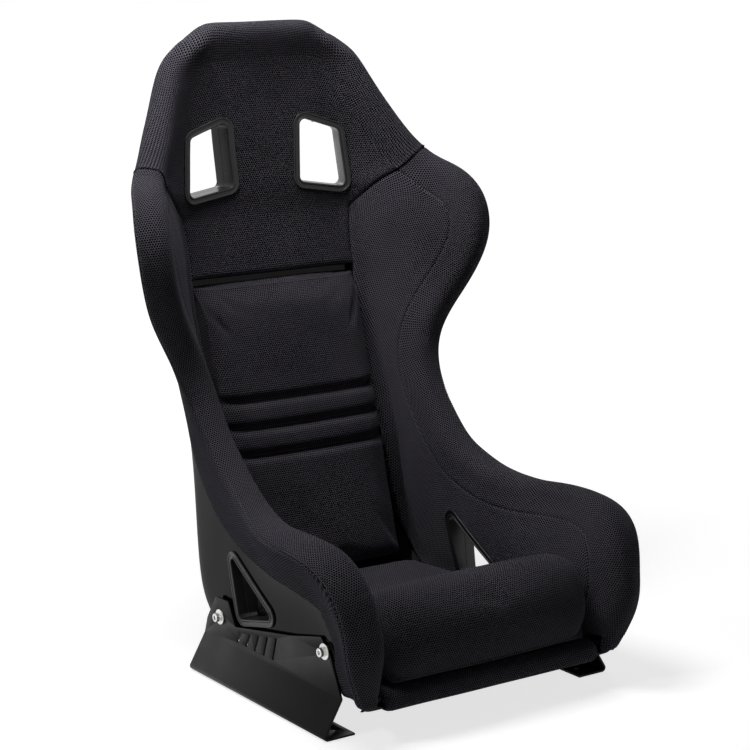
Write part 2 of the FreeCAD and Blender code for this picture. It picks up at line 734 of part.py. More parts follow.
# ---------------------------------------------------------------- outlines and prisms
def offset_outline(corners, distance):
    """Corners of a closed outline moved outwards by a distance."""
    area = sum(a[0] * b[1] - b[0] * a[1] for a, b in zip(corners, corners[1:] + corners[:1]))
    turn = 1.0 if area > 0.0 else -1.0
    result = []
    for i, corner in enumerate(corners):
        before, after = corners[i - 1], corners[(i + 1) % len(corners)]
        a = (corner[0] - before[0], corner[1] - before[1])
        b = (after[0] - corner[0], after[1] - corner[1])
        a_length, b_length = math.hypot(*a), math.hypot(*b)
        na = (a[1] / a_length * turn, -a[0] / a_length * turn)
        nb = (b[1] / b_length * turn, -b[0] / b_length * turn)
        scale = distance / (1.0 + na[0] * nb[0] + na[1] * nb[1])
        result.append((corner[0] + (na[0] + nb[0]) * scale, corner[1] + (na[1] + nb[1]) * scale))
    return result


def rounded_wire(corners, radius, place):
    """Closed wire with rounded corners; `place` turns an outline point into a vector."""
    points = [place(*corner) for corner in corners]
    edges = []
    ends = []
    for i, corner in enumerate(points):
        to_before = unit(points[i - 1] - corner)
        to_after = unit(points[(i + 1) % len(points)] - corner)
        half = 0.5 * to_before.getAngle(to_after)
        run = radius / math.tan(half)
        middle = corner + unit(to_before + to_after) * (radius / math.sin(half) - radius)
        first, last = corner + to_before * run, corner + to_after * run
        edges.append(Part.Arc(first, middle, last).toShape())
        ends.append((first, last))
    for (_, last), (first, _) in zip(ends, ends[1:] + ends[:1]):
        edges.append(Part.LineSegment(last, first).toShape())
    return Part.Wire(Part.__sortEdges__(edges))


def prism(corners, radius, place, direction, length):
    """Rounded outline swept both ways along a direction."""
    face = Part.Face(rounded_wire(corners, radius, place))
    face.translate(direction * -length)
    return face.extrude(direction * (2.0 * length))


# ---------------------------------------------------------------- belt slots and their bezels
YAW = math.radians(HARNESS_YAW)
HARNESS_NORMAL = vector(-math.sin(YAW), -math.cos(YAW), 0.0)
CUT_LENGTH = 80.0
BEZEL_MEET = 14.0           # depth at which the two halves of a bezel meet
BEZEL_RETREAT = 1.3         # how far a tube's end stays inside its flange


def harness_place(u, z):
    across = vector(math.cos(YAW), -math.sin(YAW), 0.0)
    return vector(*HARNESS_CENTRE) + across * u + vector(0.0, 0.0, z)


def lap_place(y, z):
    return vector(HIP_HALF_WIDTH, y, z)


def harness_prism(outset):
    corners = offset_outline(HARNESS_CORNERS, outset)
    return prism(corners, HARNESS_RADIUS + outset, harness_place, HARNESS_NORMAL, CUT_LENGTH)


def lap_prism(outset):
    corners = offset_outline(LAP_CORNERS, outset)
    return prism(corners, LAP_RADIUS + outset, lap_place, vector(1.0, 0.0, 0.0), CUT_LENGTH)


def point_block(make_point, first, last, counts, inner, outer):
    """Block between two lifts over a rectangle of some surface mapping."""
    grids = [
        [[make_point(a, b, lift) for b in spaced(first[1], last[1], counts[1])]
         for a in spaced(first[0], last[0], counts[0])]
        for lift in (outer, inner)
    ]
    return block(grids[0], grids[1])


def bezel(make_prism, flange_block, tube_block):
    """Flange and tube round an opening."""
    flange = flange_block.common(make_prism(BEZEL_LIP))
    tube = tube_block.common(make_prism(BEZEL_WALL))
    return flange.fuse(tube).cut(make_prism(0.0)).Solids[0]


def harness_bezels():
    def fabric(u, w, lift):
        return back_point(u, w, 3, lift)

    def shell(s, v, lift):
        return layer_point(s, v, lift)

    def below(u, w, lift):
        s, v, depth = back_param(u, w)
        return layer_point(s, v, mix(BEZEL_MEET, depth + BEZEL_SEAT + BEZEL_RETREAT, lift))

    first, last = (1.05, 0.10), (2.62, 0.97)
    counts = (14, 12)
    top = BEZEL_SEAT + BEZEL_FLANGE
    front = bezel(harness_prism,
                  point_block(fabric, first, last, counts, BEZEL_SEAT, top),
                  point_block(below, first, last, counts, 0.0, 1.0))
    first, last = (17.6, 0.10), (22.2, 0.86)
    rear = bezel(harness_prism,
                 point_block(shell, first, last, counts, -top, -BEZEL_SEAT),
                 point_block(shell, first, last, counts, -BEZEL_SEAT - BEZEL_RETREAT,
                             BEZEL_MEET - SEAM_GAP))
    return front, rear


def lap_bezels():
    def fabric(t, share, lift):
        return side_panel_point(t, share, 3, lift)

    def below(t, share, lift):
        low = side_panel_point(t, share, 0, BEZEL_MEET - SHELL_WALL - FIT_GAP)
        high = side_panel_point(t, share, 3, BEZEL_SEAT + BEZEL_RETREAT)
        return mix(low, high, lift)

    def shell(s, v, lift):
        return layer_point(s, v, lift)

    top = BEZEL_SEAT + BEZEL_FLANGE
    first, last = (5.6, 0.0), (9.7, 0.93)
    counts = (14, 10)
    inner = bezel(lap_prism,
                  point_block(fabric, first, last, counts, BEZEL_SEAT, top),
                  point_block(below, first, last, counts, 0.0, 1.0))
    first, last = (5.6, 0.60), (9.8, 0.95)
    outer = bezel(lap_prism,
                  point_block(shell, first, last, counts, -top, -BEZEL_SEAT),
                  point_block(shell, first, last, counts, -BEZEL_SEAT - BEZEL_RETREAT,
                              BEZEL_MEET - SEAM_GAP))
    return inner, outer


# ---------------------------------------------------------------- loose cushions
def station_where(measure, value, low, high):
    """Station between low and high at which a rising measure reaches a value."""
    for _ in range(30):
        middle = 0.5 * (low + high)
        if measure(middle) < value:
            low = middle
        else:
            high = middle
    return 0.5 * (low + high)


def cushion_seat(inset):
    """Depth of a cushion's underside above the shell's outer face."""
    return SHELL_WALL + 2.0 * FIT_GAP + STRIP_THICKNESS + inset


def shell_row(s, half, inset, columns):
    share = half_width_share(s, half)
    return [layer_point(s, v, cushion_seat(inset)) for v in spaced(-share, share, columns)]


def sewn_cushion(make_grids):
    """Foam and cover of a loose cushion; the cover is closed all round the foam."""
    outside = block(*make_grids(0.0))
    hollow = block(*make_grids(COVER))
    foam = block(*make_grids(COVER + COVER_GAP))
    return foam, outside.cut(hollow).Solids[0]


def back_cushion_grids(inset):
    columns = 13
    slope = math.tan(math.radians(RECLINE))
    low, high = CUSHION_BOTTOM + inset, CUSHION_TOP - inset
    heights = spaced(low, GROOVE_HEIGHTS[0] - 6.0 * GROOVE_HALF, 4)
    for groove in GROOVE_HEIGHTS:
        heights += [groove - GROOVE_HALF, groove, groove + GROOVE_HALF]
    heights += spaced(GROOVE_HEIGHTS[-1] + 2.6 * GROOVE_HALF, high, 4)
    between = 0.5 * (GROOVE_HEIGHTS[0] + GROOVE_HEIGHTS[1])
    front, rear = [], []
    for z in heights:
        rise = (z - CUSHION_BOTTOM) / (CUSHION_TOP - CUSHION_BOTTOM)
        half = mix(CUSHION_LOW_HALF, CUSHION_TOP_HALF, rise) - inset
        groove = GROOVE_DEPTH if z in GROOVE_HEIGHTS else 0.0
        face = CUSHION_FACE + (z - CUSHION_FACE_HEIGHT) * slope + groove + inset
        front.append([vector(w * half, face - CUSHION_CROWN * (1.0 - w * w), z)
                      for w in spaced(-1.0, 1.0, columns)])
        s = station_where(lambda at: shell_point(at, 0.0).z, z, 8.5, 16.0)
        rear.append(shell_row(s, half, inset, columns))
    return front, rear


def inset_profile(points, distance):
    """(y, z) profile moved inwards, to the right of its direction of travel."""
    moved = []
    for i, (y, z) in enumerate(points):
        before = points[max(i - 1, 0)]
        after = points[min(i + 1, len(points) - 1)]
        dy, dz = after[0] - before[0], after[1] - before[1]
        length = math.hypot(dy, dz)
        moved.append((y + dz / length * distance, z - dy / length * distance))
    return moved


def end_round(w, half):
    """0 along a cushion, rising to 1 at its ends as a quarter circle does."""
    late = max(1.0 - half * (1.0 - abs(w)) / END_ROUND, 0.0)
    return 1.0 - math.sqrt(1.0 - late * late)


def base_cushion_grids(profile, bend, inset):
    """Top from a (y, z) profile, front to rear, and underside from the shell's base.
    `bend` moves a (y, z) point of the profile for a share of end rounding."""
    columns = 17
    across = [math.sin(0.5 * math.pi * w) for w in spaced(-1.0, 1.0, columns)]
    half = SEAT_PAD_HALF - inset
    moved = inset_profile(profile, inset)
    moved[0] = (profile[0][0] + inset, moved[0][1])
    moved[-1] = (profile[-1][0] - inset, moved[-1][1])
    top, under = [], []
    for i, (y, z) in enumerate(moved):
        row = []
        for w in across:
            bent_y, bent_z = bend(y, z, end_round(w, half))
            row.append(vector(w * half, bent_y, bent_z))
        top.append(row)
        at = mix(moved[0][0], moved[-1][0], i / (len(moved) - 1.0))
        s = station_where(lambda station: shell_point(station, 0.0).y, at, 0.0, 9.6)
        share = half_width_share(s, PAD_FOOT_HALF - inset)
        under.append([layer_point(s, w * share, cushion_seat(inset)) for w in across])
    return top, under


def seat_pad_grids(inset):
    rise = SEAT_PAD_REAR_TOP - SEAT_PAD_FRONT_TOP
    profile = [(mix(SEAT_PAD_FRONT, SEAT_PAD_REAR, i / 6.0), SEAT_PAD_FRONT_TOP + rise * i / 6.0)
               for i in range(7)]

    def bend(y, z, share):
        return y, z - PAD_END_DROP * share

    return base_cushion_grids(profile, bend, inset)


def thigh_roll_grids(inset):
    rear = SEAT_PAD_FRONT - CUSHION_GAP
    shape = ((0.05, 0.05), (0.0, 0.27), (-0.006, 0.525), (0.05, 0.77), (0.16, 0.93),
             (0.32, 1.0), (0.51, 0.93), (0.70, 0.745), (0.872, 0.525), (1.0, 0.373))
    profile = [(mix(ROLL_FRONT, rear, back), mix(ROLL_FOOT, ROLL_CREST, rise))
               for back, rise in shape]

    def bend(y, z, share):
        core_y, core_z = ROLL_CORE
        pull = ROLL_END_PULL * share
        return mix(y, core_y, pull), mix(z, core_z, pull)

    top, under = base_cushion_grids(profile, bend, inset)
    clear = shell_point(0.0, 0.0).z + LIP_PAD + LIP_SWELL + FIT_GAP + inset
    root = shell_point(0.0, 0.0).y + LIP_ROOT
    for row in under:
        share = smooth((row[0].y - root) / ROLL_RAMP)
        for point in row:
            point.z = mix(max(clear, point.z), point.z, share)
    return top, under


def hook_strips():
    depth = SHELL_WALL + FIT_GAP
    back, base = [], []
    for side in (-1.0, 1.0):
        middle = side * STRIP_SPREAD
        for target, first, last in ((back, 11.0, 13.8), (base, 2.8, 8.2)):
            shares = [math.copysign(half_width_share(0.5 * (first + last), abs(x)), x)
                      for x in (middle - 0.5 * STRIP_WIDTH, middle + 0.5 * STRIP_WIDTH)]
            target.append(layer_block((first, last), shares, depth,
                                      depth + STRIP_THICKNESS, (8, 4)))
    return Part.makeCompound(back), Part.makeCompound(base)


# ---------------------------------------------------------------- side mounts
def mount_section():
    """Closed (x, z) section of the folded plate, from the top of the upright round the foot."""
    flange = MOUNT_FOOT - FLANGE_WIDTH
    outer = [(MOUNT_FACE, MOUNT_TOP), (MOUNT_FACE, MOUNT_BEND), (MOUNT_FOOT, 0.0), (flange, 0.0)]
    run = (MOUNT_FOOT - MOUNT_FACE, -MOUNT_BEND)
    length = math.hypot(*run)
    shift_x = PLATE * length / -run[1]
    inner_x = MOUNT_FACE - PLATE
    upper = MOUNT_BEND + (inner_x + shift_x - MOUNT_FACE) * run[1] / run[0]
    lower = MOUNT_FACE - shift_x + (MOUNT_BEND - PLATE) * run[0] / -run[1]
    inner = [(flange, PLATE), (lower, PLATE), (inner_x, upper), (inner_x, MOUNT_TOP)]
    return outer + inner


def rounded_bends(solid):
    """Round the three bends of a folded plate, inside and outside."""
    outside, inside = [], []
    for edge in solid.Edges:
        if edge.Length < 0.9 * MOUNT_LENGTH:
            continue
        at = edge.CenterOfMass
        if abs(at.z - MOUNT_TOP) < 1.0 or at.x < MOUNT_FOOT - FLANGE_WIDTH + 1.0:
            continue
        outer = abs(at.x - MOUNT_FOOT) < 0.1 or abs(at.x - MOUNT_FACE) < 0.1
        (outside if outer else inside).append(edge)
    solid = solid.makeFillet(BEND_RADIUS + PLATE, [e for e in outside if e.CenterOfMass.z < 1.0]
                             + [e for e in inside if e.CenterOfMass.z > 2.0 * PLATE])
    again = [e for e in solid.Edges if e.Length > 0.9 * MOUNT_LENGTH]
    tight = [e for e in again
             if abs(e.CenterOfMass.z - MOUNT_BEND) < 0.1 and abs(e.CenterOfMass.x - MOUNT_FACE) < 0.1]
    tight += [e for e in again
              if abs(e.CenterOfMass.z - PLATE) < 0.1 and e.CenterOfMass.x > MOUNT_FACE]
    return solid.makeFillet(BEND_RADIUS, tight)


def upright_outline():
    """(y, z) outline that the upright and the foot are cut to."""
    half = 0.5 * MOUNT_LENGTH
    front_y, front_z = BOLT_FRONT
    rear_y, rear_z = BOLT_REAR
    return [
        (-half, -10.0), (half, -10.0), (half, MOUNT_BEND), (half - 10.0, MOUNT_BEND + 26.0),
        (rear_y + 12.0, rear_z + 28.0), (rear_y - 25.0, rear_z + 29.0),
        (rear_y - 43.0, rear_z - 5.0), (front_y + 90.0, front_z - 1.0),
        (front_y + 10.0, front_z + 18.0), (front_y - 14.0, front_z - 1.0), (-half, MOUNT_BEND + 1.0),
    ]


def adjust_slots():
    """Leaning slots between the two bolts, each a slot with round ends."""
    cuts = []
    for i in range(ADJUST_COUNT):
        foot_y = ADJUST_FIRST - i * ADJUST_PITCH
        foot = (foot_y, MOUNT_BEND + 10.0)
        head = (foot_y - ADJUST_LEAN, MOUNT_BEND + 24.0 + i * ADJUST_STEP)
        half = 0.5 * ADJUST_SLOT
        along = (head[0] - foot[0], head[1] - foot[1])
        length = math.hypot(*along)
        side = (-along[1] / length * half, along[0] / length * half)
        corners = [(foot[0] + side[0], foot[1] + side[1]), (head[0] + side[0], head[1] + side[1]),
                   (head[0] - side[0], head[1] - side[1]), (foot[0] - side[0], foot[1] - side[1])]
        corners = [(y, z) for y, z in offset_ends(corners, along, half)]
        cuts.append(prism(corners, 0.98 * half, lambda y, z: vector(MOUNT_FACE, y, z),
                          vector(1.0, 0.0, 0.0), 2.0 * PLATE))
    return cuts


def offset_ends(corners, along, distance):
    """Lengthen a slot's corners at both ends."""
    length = math.hypot(*along)
    step = (along[0] / length * distance, along[1] / length * distance)
    signs = (-1.0, 1.0, 1.0, -1.0)
    return [(y + sign * step[0], z + sign * step[1]) for (y, z), sign in zip(corners, signs)]


def cross_cylinder(radius, at, low_x, high_x):
    """Cylinder along X through the (y, z) point `at`."""
    return Part.makeCylinder(radius, high_x - low_x, vector(low_x, at[0], at[1]),
                             vector(1.0, 0.0, 0.0))


def side_mount():
    points = [vector(x, -0.5 * MOUNT_LENGTH, z) for x, z in mount_section()]
    section = Part.Face(Part.makePolygon(points + points[:1]))
    plate = rounded_bends(section.extrude(vector(0.0, MOUNT_LENGTH, 0.0)))
    plate = plate.common(prism(upright_outline(), MOUNT_CORNER,
                               lambda y, z: vector(MOUNT_FACE, y, z), vector(1.0, 0.0, 0.0), 60.0))
    for at in (BOLT_FRONT, BOLT_REAR):
        plate = plate.cut(cross_cylinder(BOLT_SHANK + BOLT_CLEARANCE, at,
                                         MOUNT_FACE - 2.0 * PLATE, MOUNT_FACE + PLATE))
    for cutter in adjust_slots():
        plate = plate.cut(cutter)
    for y in (-FLOOR_HOLE_Y, FLOOR_HOLE_Y):
        plate = plate.cut(Part.makeCylinder(FLOOR_HOLE, 3.0 * PLATE,
                                            vector(FLOOR_HOLE_X, y, -PLATE)))
    return plate


def fasteners():
    bolts, washers = [], []
    face = MOUNT_FACE + WASHER
    for at in (BOLT_FRONT, BOLT_REAR):
        washer = cross_cylinder(WASHER_RADIUS, at, MOUNT_FACE, face)
        washers.append(washer.cut(cross_cylinder(BOLT_SHANK, at, MOUNT_FACE - 1.0, face + 1.0)))
        head = cross_cylinder(BOLT_HEAD_RADIUS, at, face, face + BOLT_HEAD)
        head = head.makeChamfer(0.5, [head.Edges[0]])
        shank = cross_cylinder(BOLT_SHANK, at, face - BOLT_LENGTH, face)
        socket = hexagon_prism(at, SOCKET_FLATS, face + BOLT_HEAD - SOCKET_DEPTH,
                               face + BOLT_HEAD + 1.0)
        bolts.append(head.fuse(shank).cut(socket).Solids[0])
    return Part.makeCompound(bolts), Part.makeCompound(washers)


def hexagon_prism(at, flats, low_x, high_x):
    radius = flats / math.sqrt(3.0)
    points = [vector(low_x, at[0] + radius * math.cos(math.pi / 3.0 * i),
                     at[1] + radius * math.sin(math.pi / 3.0 * i)) for i in range(7)]
    return Part.Face(Part.makePolygon(points)).extrude(vector(high_x - low_x, 0.0, 0.0))


def shell_bosses(make_radius):
    """Cylinders from inside the wall to the side mount."""
    return [cross_cylinder(make_radius, at, HIP_HALF_WIDTH - 25.0, MOUNT_FACE - PLATE)
            for at in (BOLT_FRONT, BOLT_REAR)]


# ---------------------------------------------------------------- the seat, piece by piece
def shell_solid():
    stations = spaced(0.0, LAST, 49)
    shares = spaced(-1.0, 1.0, 33)
    outer = [[layer_point(s, v, 0.0) for v in shares] for s in stations]
    inner = [[layer_point(s, v, SHELL_WALL) for v in shares] for s in stations]
    return block(inner, outer)


def both(solid):
    return [solid, mirrored(solid)]


def outermost(shape):
    return max(shape.Solids, key=lambda piece: piece.BoundBox.XMax)


def cut_all(solid, tools):
    for tool in tools:
        solid = solid.cut(tool)
    return max(solid.Solids, key=lambda piece: piece.Volume)


def add_pair(parts, name, right):
    parts[name + "_right"] = right
    parts[name + "_left"] = mirrored(right)


def build():
    parts = {}
    clear = BEZEL_WALL + FIT_GAP
    slots = both(harness_prism(clear)) + both(lap_prism(clear))

    inside = layer_block((0.6, 10.4), (0.55, 0.97), 0.5 * SHELL_WALL, 60.0, (16, 10))
    inner_side = layer_block((0.6, 10.4), (0.55, 0.97), SHELL_WALL - 0.2, 60.0, (16, 10))
    bosses = [outermost(boss.cut(inside)) for boss in shell_bosses(BOSS_RADIUS)]
    inserts = [outermost(boss.cut(inner_side)) for boss in shell_bosses(INSERT_RADIUS)]
    bores = shell_bosses(INSERT_RADIUS)

    shell = shell_solid()
    for boss in bosses:
        for solid in both(boss):
            shell = shell.fuse(solid)
    bores = [solid for bore in bores for solid in both(bore)]
    parts["shell"] = cut_all(shell, slots + bores)

    threads = [cross_cylinder(BOLT_SHANK, at, HIP_HALF_WIDTH - 30.0, MOUNT_FACE + 1.0)
               for at in (BOLT_FRONT, BOLT_REAR)]
    add_pair(parts, "threaded_inserts",
             Part.makeCompound([a.cut(b) for a, b in zip(inserts, threads)]))

    foam, cover = side_padding()
    add_pair(parts, "side_foam", cut_all(foam, [lap_prism(clear)]))
    add_pair(parts, "side_cover", cut_all(cover, [lap_prism(clear)]))
    harness = both(harness_prism(clear))
    parts["head_and_back_foam"] = cut_all(back_layer_solid(1, 0), harness)
    parts["head_and_back_cover"] = cut_all(back_layer_solid(3, 2), harness)
    parts["front_lip_foam"], parts["front_lip_cover"] = lip_padding()

    for name, grids in (("back_cushion", back_cushion_grids), ("seat_pad", seat_pad_grids),
                        ("thigh_roll", thigh_roll_grids)):
        parts[name + "_foam"], parts[name + "_cover"] = sewn_cushion(grids)
    parts["back_hook_strips"], parts["base_hook_strips"] = hook_strips()

    front, rear = harness_bezels()
    add_pair(parts, "harness_bezel_front", front)
    add_pair(parts, "harness_bezel_rear", rear)
    inner, outer = lap_bezels()
    add_pair(parts, "lap_bezel_inner", inner)
    add_pair(parts, "lap_bezel_outer", outer)

    add_pair(parts, "side_mount", side_mount())
    bolts, washers = fasteners()
    add_pair(parts, "mount_bolts", bolts)
    add_pair(parts, "mount_washers", washers)
    return parts


if __name__ == "__main__":
    os.makedirs("parts", exist_ok=True)
    for node, shape in build().items():
        shape.exportStep("parts/" + node + ".step")
        print(node, shape.isValid(), len(shape.Solids), round(shape.Volume))
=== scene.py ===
import logging
import math
from dataclasses import dataclass, field
from enum import Enum
from typing import Callable, Sequence

import bmesh
import bpy
import numpy as np
from mathutils import Euler, Matrix, Vector
from mathutils.bvhtree import BVHTree
from mathutils.kdtree import KDTree


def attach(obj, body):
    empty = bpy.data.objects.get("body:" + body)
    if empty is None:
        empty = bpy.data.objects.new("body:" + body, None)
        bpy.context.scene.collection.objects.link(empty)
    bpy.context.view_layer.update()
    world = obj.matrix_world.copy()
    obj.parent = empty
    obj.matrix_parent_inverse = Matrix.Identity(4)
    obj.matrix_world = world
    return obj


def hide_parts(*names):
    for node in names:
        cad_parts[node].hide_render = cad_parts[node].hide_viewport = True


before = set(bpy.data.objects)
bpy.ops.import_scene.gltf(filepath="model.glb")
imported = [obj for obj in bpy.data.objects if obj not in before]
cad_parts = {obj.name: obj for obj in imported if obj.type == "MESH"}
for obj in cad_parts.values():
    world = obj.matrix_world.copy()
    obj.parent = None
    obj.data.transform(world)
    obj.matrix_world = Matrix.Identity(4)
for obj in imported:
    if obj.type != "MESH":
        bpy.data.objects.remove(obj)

LOG = logging.getLogger("racing_seat")
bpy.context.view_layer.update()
MM = 0.001
Array = np.ndarray


# ------------------------------------------------------------------ numbers and curves
def mix(a: Array | float, b: Array | float, share: Array | float) -> Array | float:
    """Blend from a to b."""
    return a + (b - a) * share


def smooth(share: Array | float) -> Array:
    """Ease a share between 0 and 1."""
    share = np.clip(share, 0.0, 1.0)
    return share * share * (3.0 - 2.0 * share)


def unit(v: Array) -> Array:
    """Vectors of length one along the last axis."""
    return v / np.maximum(np.linalg.norm(v, axis=-1, keepdims=True), 1e-12)


def bell(distance: Array, width: float) -> Array:
    """Bell curve, 1 at distance zero."""
    return np.exp(-(distance / width) ** 2)


def second_slopes(x: Array, y: Array) -> Array:
    """Second derivatives of natural cubic splines.

    Args:
        x: Rising parameters, one row for each curve, (n, k).
        y: Values, (n, k, d).

    Returns:
        Second derivatives, (n, k, d).
    """
    n, k = x.shape
    step = np.diff(x, axis=1)
    matrix = np.zeros((n, k, k))
    right = np.zeros_like(y)
    rows = np.arange(1, k - 1)
    matrix[:, 0, 0] = matrix[:, -1, -1] = 1.0
    matrix[:, rows, rows - 1] = step[:, :-1]
    matrix[:, rows, rows] = 2.0 * (step[:, :-1] + step[:, 1:])
    matrix[:, rows, rows + 1] = step[:, 1:]
    slope = np.diff(y, axis=1) / step[..., None]
    right[:, 1:-1] = 6.0 * np.diff(slope, axis=1)
    return np.linalg.solve(matrix, right)


def spline_values(x: Array, y: Array, bend: Array, at: Array) -> Array:
    """Values of natural cubic splines, (n, m, d), at parameters (n, m)."""
    last = x.shape[1] - 2
    i = np.clip((at[:, :, None] > x[:, None, :]).sum(-1) - 1, 0, last)
    rows = np.arange(len(x))[:, None]
    span = (x[rows, i + 1] - x[rows, i])[..., None]
    a = (x[rows, i + 1] - at)[..., None] / span
    b = 1.0 - a
    curve = (a ** 3 - a) * bend[rows, i] + (b ** 3 - b) * bend[rows, i + 1]
    return a * y[rows, i] + b * y[rows, i + 1] + curve * span * span / 6.0


class Curve:
    """Natural cubic spline through a table of values."""

    def __init__(self, x: Sequence[float], y: Sequence) -> None:
        self.x = np.array(x, float)[None]
        self.y = np.array(y, float).reshape(1, len(x), -1)
        self.bend = second_slopes(self.x, self.y)

    def __call__(self, at: Array) -> Array:
        """Values, (m, d), at an array of parameters."""
        return spline_values(self.x, self.y, self.bend, np.ravel(at)[None])[0]


def chords(points: Array) -> Array:
    """Length run along rows of points, (n, k), from (n, k, 3)."""
    steps = np.linalg.norm(np.diff(points, axis=1), axis=2)
    return np.concatenate([np.zeros((len(points), 1)), np.cumsum(steps, axis=1)], axis=1)


def eased(count: int, gather: float = 0.75) -> Array:
    """Shares from 0 to 1 that gather towards both ends, without the last."""
    t = np.arange(count) / count
    return t - gather * np.sin(2.0 * math.pi * t) / (2.0 * math.pi)


# ------------------------------------------------------------------ the moulded shell's form
@dataclass
class ShellForm:
    """The shell's surface and rim: stations run from the front lip (0) to the head (24),
    shares across from the left rim (-1) to the right rim (1)."""

    wall: float = 4.5 * MM
    high_share: float = 0.68
    top_steps: float = 3.0
    stride: float = 7.0 * MM
    strides: int = 14
    rim_start_reach: float = 42.0 * MM
    foot_reach: float = 1.5
    foot_start: tuple = (1.0, 0.72)
    corner: float = 1.0
    corner_start: tuple = (23.0, 0.70)
    # position, spine y and z, rim x, y and z, turn of the floor into the wall: half width and
    # softness, half width low and high, height share of the low one, rim padding, wrap
    stations: tuple = (
        (0.0, -238.0, 49.0, 214.0, -236.0, 54.0, 206.0, 22.0, 211.0, 213.0, 0.50, 25.0, 62.0),
        (1.0, -196.0, 47.0, 236.0, -250.0, 112.0, 204.0, 30.0, 210.0, 219.0, 0.40, 40.0, 76.0),
        (2.0, -154.0, 46.0, 244.0, -250.0, 165.0, 205.0, 36.0, 210.5, 220.0, 0.40, 46.0, 92.0),
        (4.0, -80.0, 46.0, 257.0, -203.0, 240.0, 205.5, 40.0, 210.5, 218.0, 0.36, 48.0, 96.0),
        (6.0, 0.0, 46.0, 247.0, -72.0, 248.0, 206.0, 44.0, 211.0, 217.0, 0.34, 44.0, 66.0),
        (8.0, 112.0, 46.2, 223.0, 45.0, 267.0, 206.0, 48.0, 211.0, 214.0, 0.30, 42.0, 64.0),
        (8.5, 149.0, 46.4, 218.0, 71.0, 278.0, 206.0, 50.0, 210.0, 214.0, 0.28, 41.0, 66.0),
        (9.0, 188.0, 55.0, 214.0, 97.0, 291.0, 205.0, 52.0, 208.0, 212.0, 0.28, 40.0, 68.0),
        (9.5, 228.0, 88.0, 212.0, 121.0, 308.0, 202.0, 55.0, 206.0, 209.0, 0.28, 39.0, 70.0),
        (10.0, 248.0, 150.0, 212.0, 145.0, 330.0, 197.0, 58.0, 203.0, 206.0, 0.29, 38.0, 72.0),
        (11.0, 265.0, 285.0, 214.0, 188.0, 383.0, 188.0, 60.0, 199.0, 205.0, 0.32, 38.0, 76.0),
        (12.0, 295.0, 390.0, 223.0, 212.0, 436.0, 181.0, 60.0, 197.0, 209.0, 0.34, 38.0, 76.0),
        (14.0, 336.0, 530.0, 268.0, 203.0, 525.0, 171.0, 60.0, 203.0, 238.0, 0.34, 40.0, 72.0),
        (16.0, 349.0, 591.0, 298.0, 177.0, 615.0, 168.0, 60.0, 210.0, 262.0, 0.33, 40.0, 64.0),
        (18.0, 358.5, 646.0, 284.0, 218.0, 697.0, 164.0, 55.0, 209.0, 254.0, 0.33, 38.0, 52.0),
        (19.0, 363.0, 686.0, 259.0, 264.0, 722.0, 158.0, 50.0, 203.0, 237.0, 0.30, 36.0, 44.0),
        (20.0, 367.0, 736.0, 228.0, 296.0, 766.0, 148.0, 46.0, 186.0, 212.0, 0.26, 34.0, 38.0),
        (22.0, 371.0, 842.0, 178.0, 338.0, 860.0, 120.0, 40.0, 146.0, 167.0, 0.22, 32.0, 32.0),
        (23.0, 369.0, 889.0, 155.0, 347.0, 893.0, 106.0, 36.0, 129.0, 146.0, 0.22, 31.0, 30.0),
        (24.0, 360.0, 934.0, 119.0, 352.0, 921.0, 82.0, 30.0, 102.0, 112.0, 0.26, 30.0, 28.0),
    )

    def __post_init__(self) -> None:
        """Fit the curves that run along the stations."""
        table = np.array(self.stations)
        scale = np.full(12, MM)
        scale[9] = 1.0
        self.last = table[-1, 0]
        self.curves = Curve(table[:, 0], table[:, 1:] * scale)

    def size(self, column: int, s: Array) -> Array:
        """One column of the station table at stations s."""
        return self.curves(np.minimum(s, self.last))[:, column].reshape(np.shape(s))

    def point(self, s: Array, v: Array) -> Array:
        """Outer face of the shell.

        Args:
            s: Stations.
            v: Shares across, of the same shape.

        Returns:
            Points, with one more axis than s.
        """
        s, v = np.broadcast_arrays(np.asarray(s, float), np.asarray(v, float))
        c = self.curves(s)
        run = c[:, [3, 4]] - c[:, [0, 1]]
        half = np.stack([0.45 * c[:, 5], c[:, 5] - c[:, 6], c[:, 5], c[:, 7], c[:, 8], c[:, 2]], 1)
        zero = np.zeros(len(c))
        one = np.ones(len(c))
        high = one * self.high_share
        rise = np.stack([zero, zero, zero, c[:, 9], high, one], 1)
        x = np.concatenate([-half[:, ::-1], zero[:, None], half], 1)
        rise = np.concatenate([rise[:, ::-1], zero[:, None], rise], 1)
        control = np.stack([x, c[:, :1] + run[:, :1] * rise, c[:, 1:2] + run[:, 1:] * rise], 2)
        share = np.clip(0.5 * (np.ravel(v) + 1.0), 0.0, 1.0)
        spans = control.shape[1] - 3
        knots = np.concatenate([np.zeros(3), np.arange(spans + 1) / spans, np.ones(3)])
        first = np.minimum((share * spans).astype(int), spans - 1)
        rows = np.arange(len(c))
        active = [control[rows, first + j] for j in range(4)]
        for r in range(1, 4):
            for j in range(3, r - 1, -1):
                low, top = knots[first + j], knots[first + j + 4 - r]
                weight = ((share - low) / (top - low))[:, None]
                active[j] = mix(active[j - 1], active[j], weight)
        return active[3].reshape(s.shape + (3,))

    def slopes(self, s: Array, v: Array) -> tuple[Array, Array]:
        """Change of the surface point with the station and with the share."""
        step = 0.02
        s0, s1 = np.maximum(s - step, 0.0), np.minimum(s + step, self.last)
        v0, v1 = np.maximum(v - step, -1.0), np.minimum(v + step, 1.0)
        along = (self.point(s1, v) - self.point(s0, v)) / (s1 - s0)[..., None]
        across = (self.point(s, v1) - self.point(s, v0)) / (v1 - v0)[..., None]
        return along, across

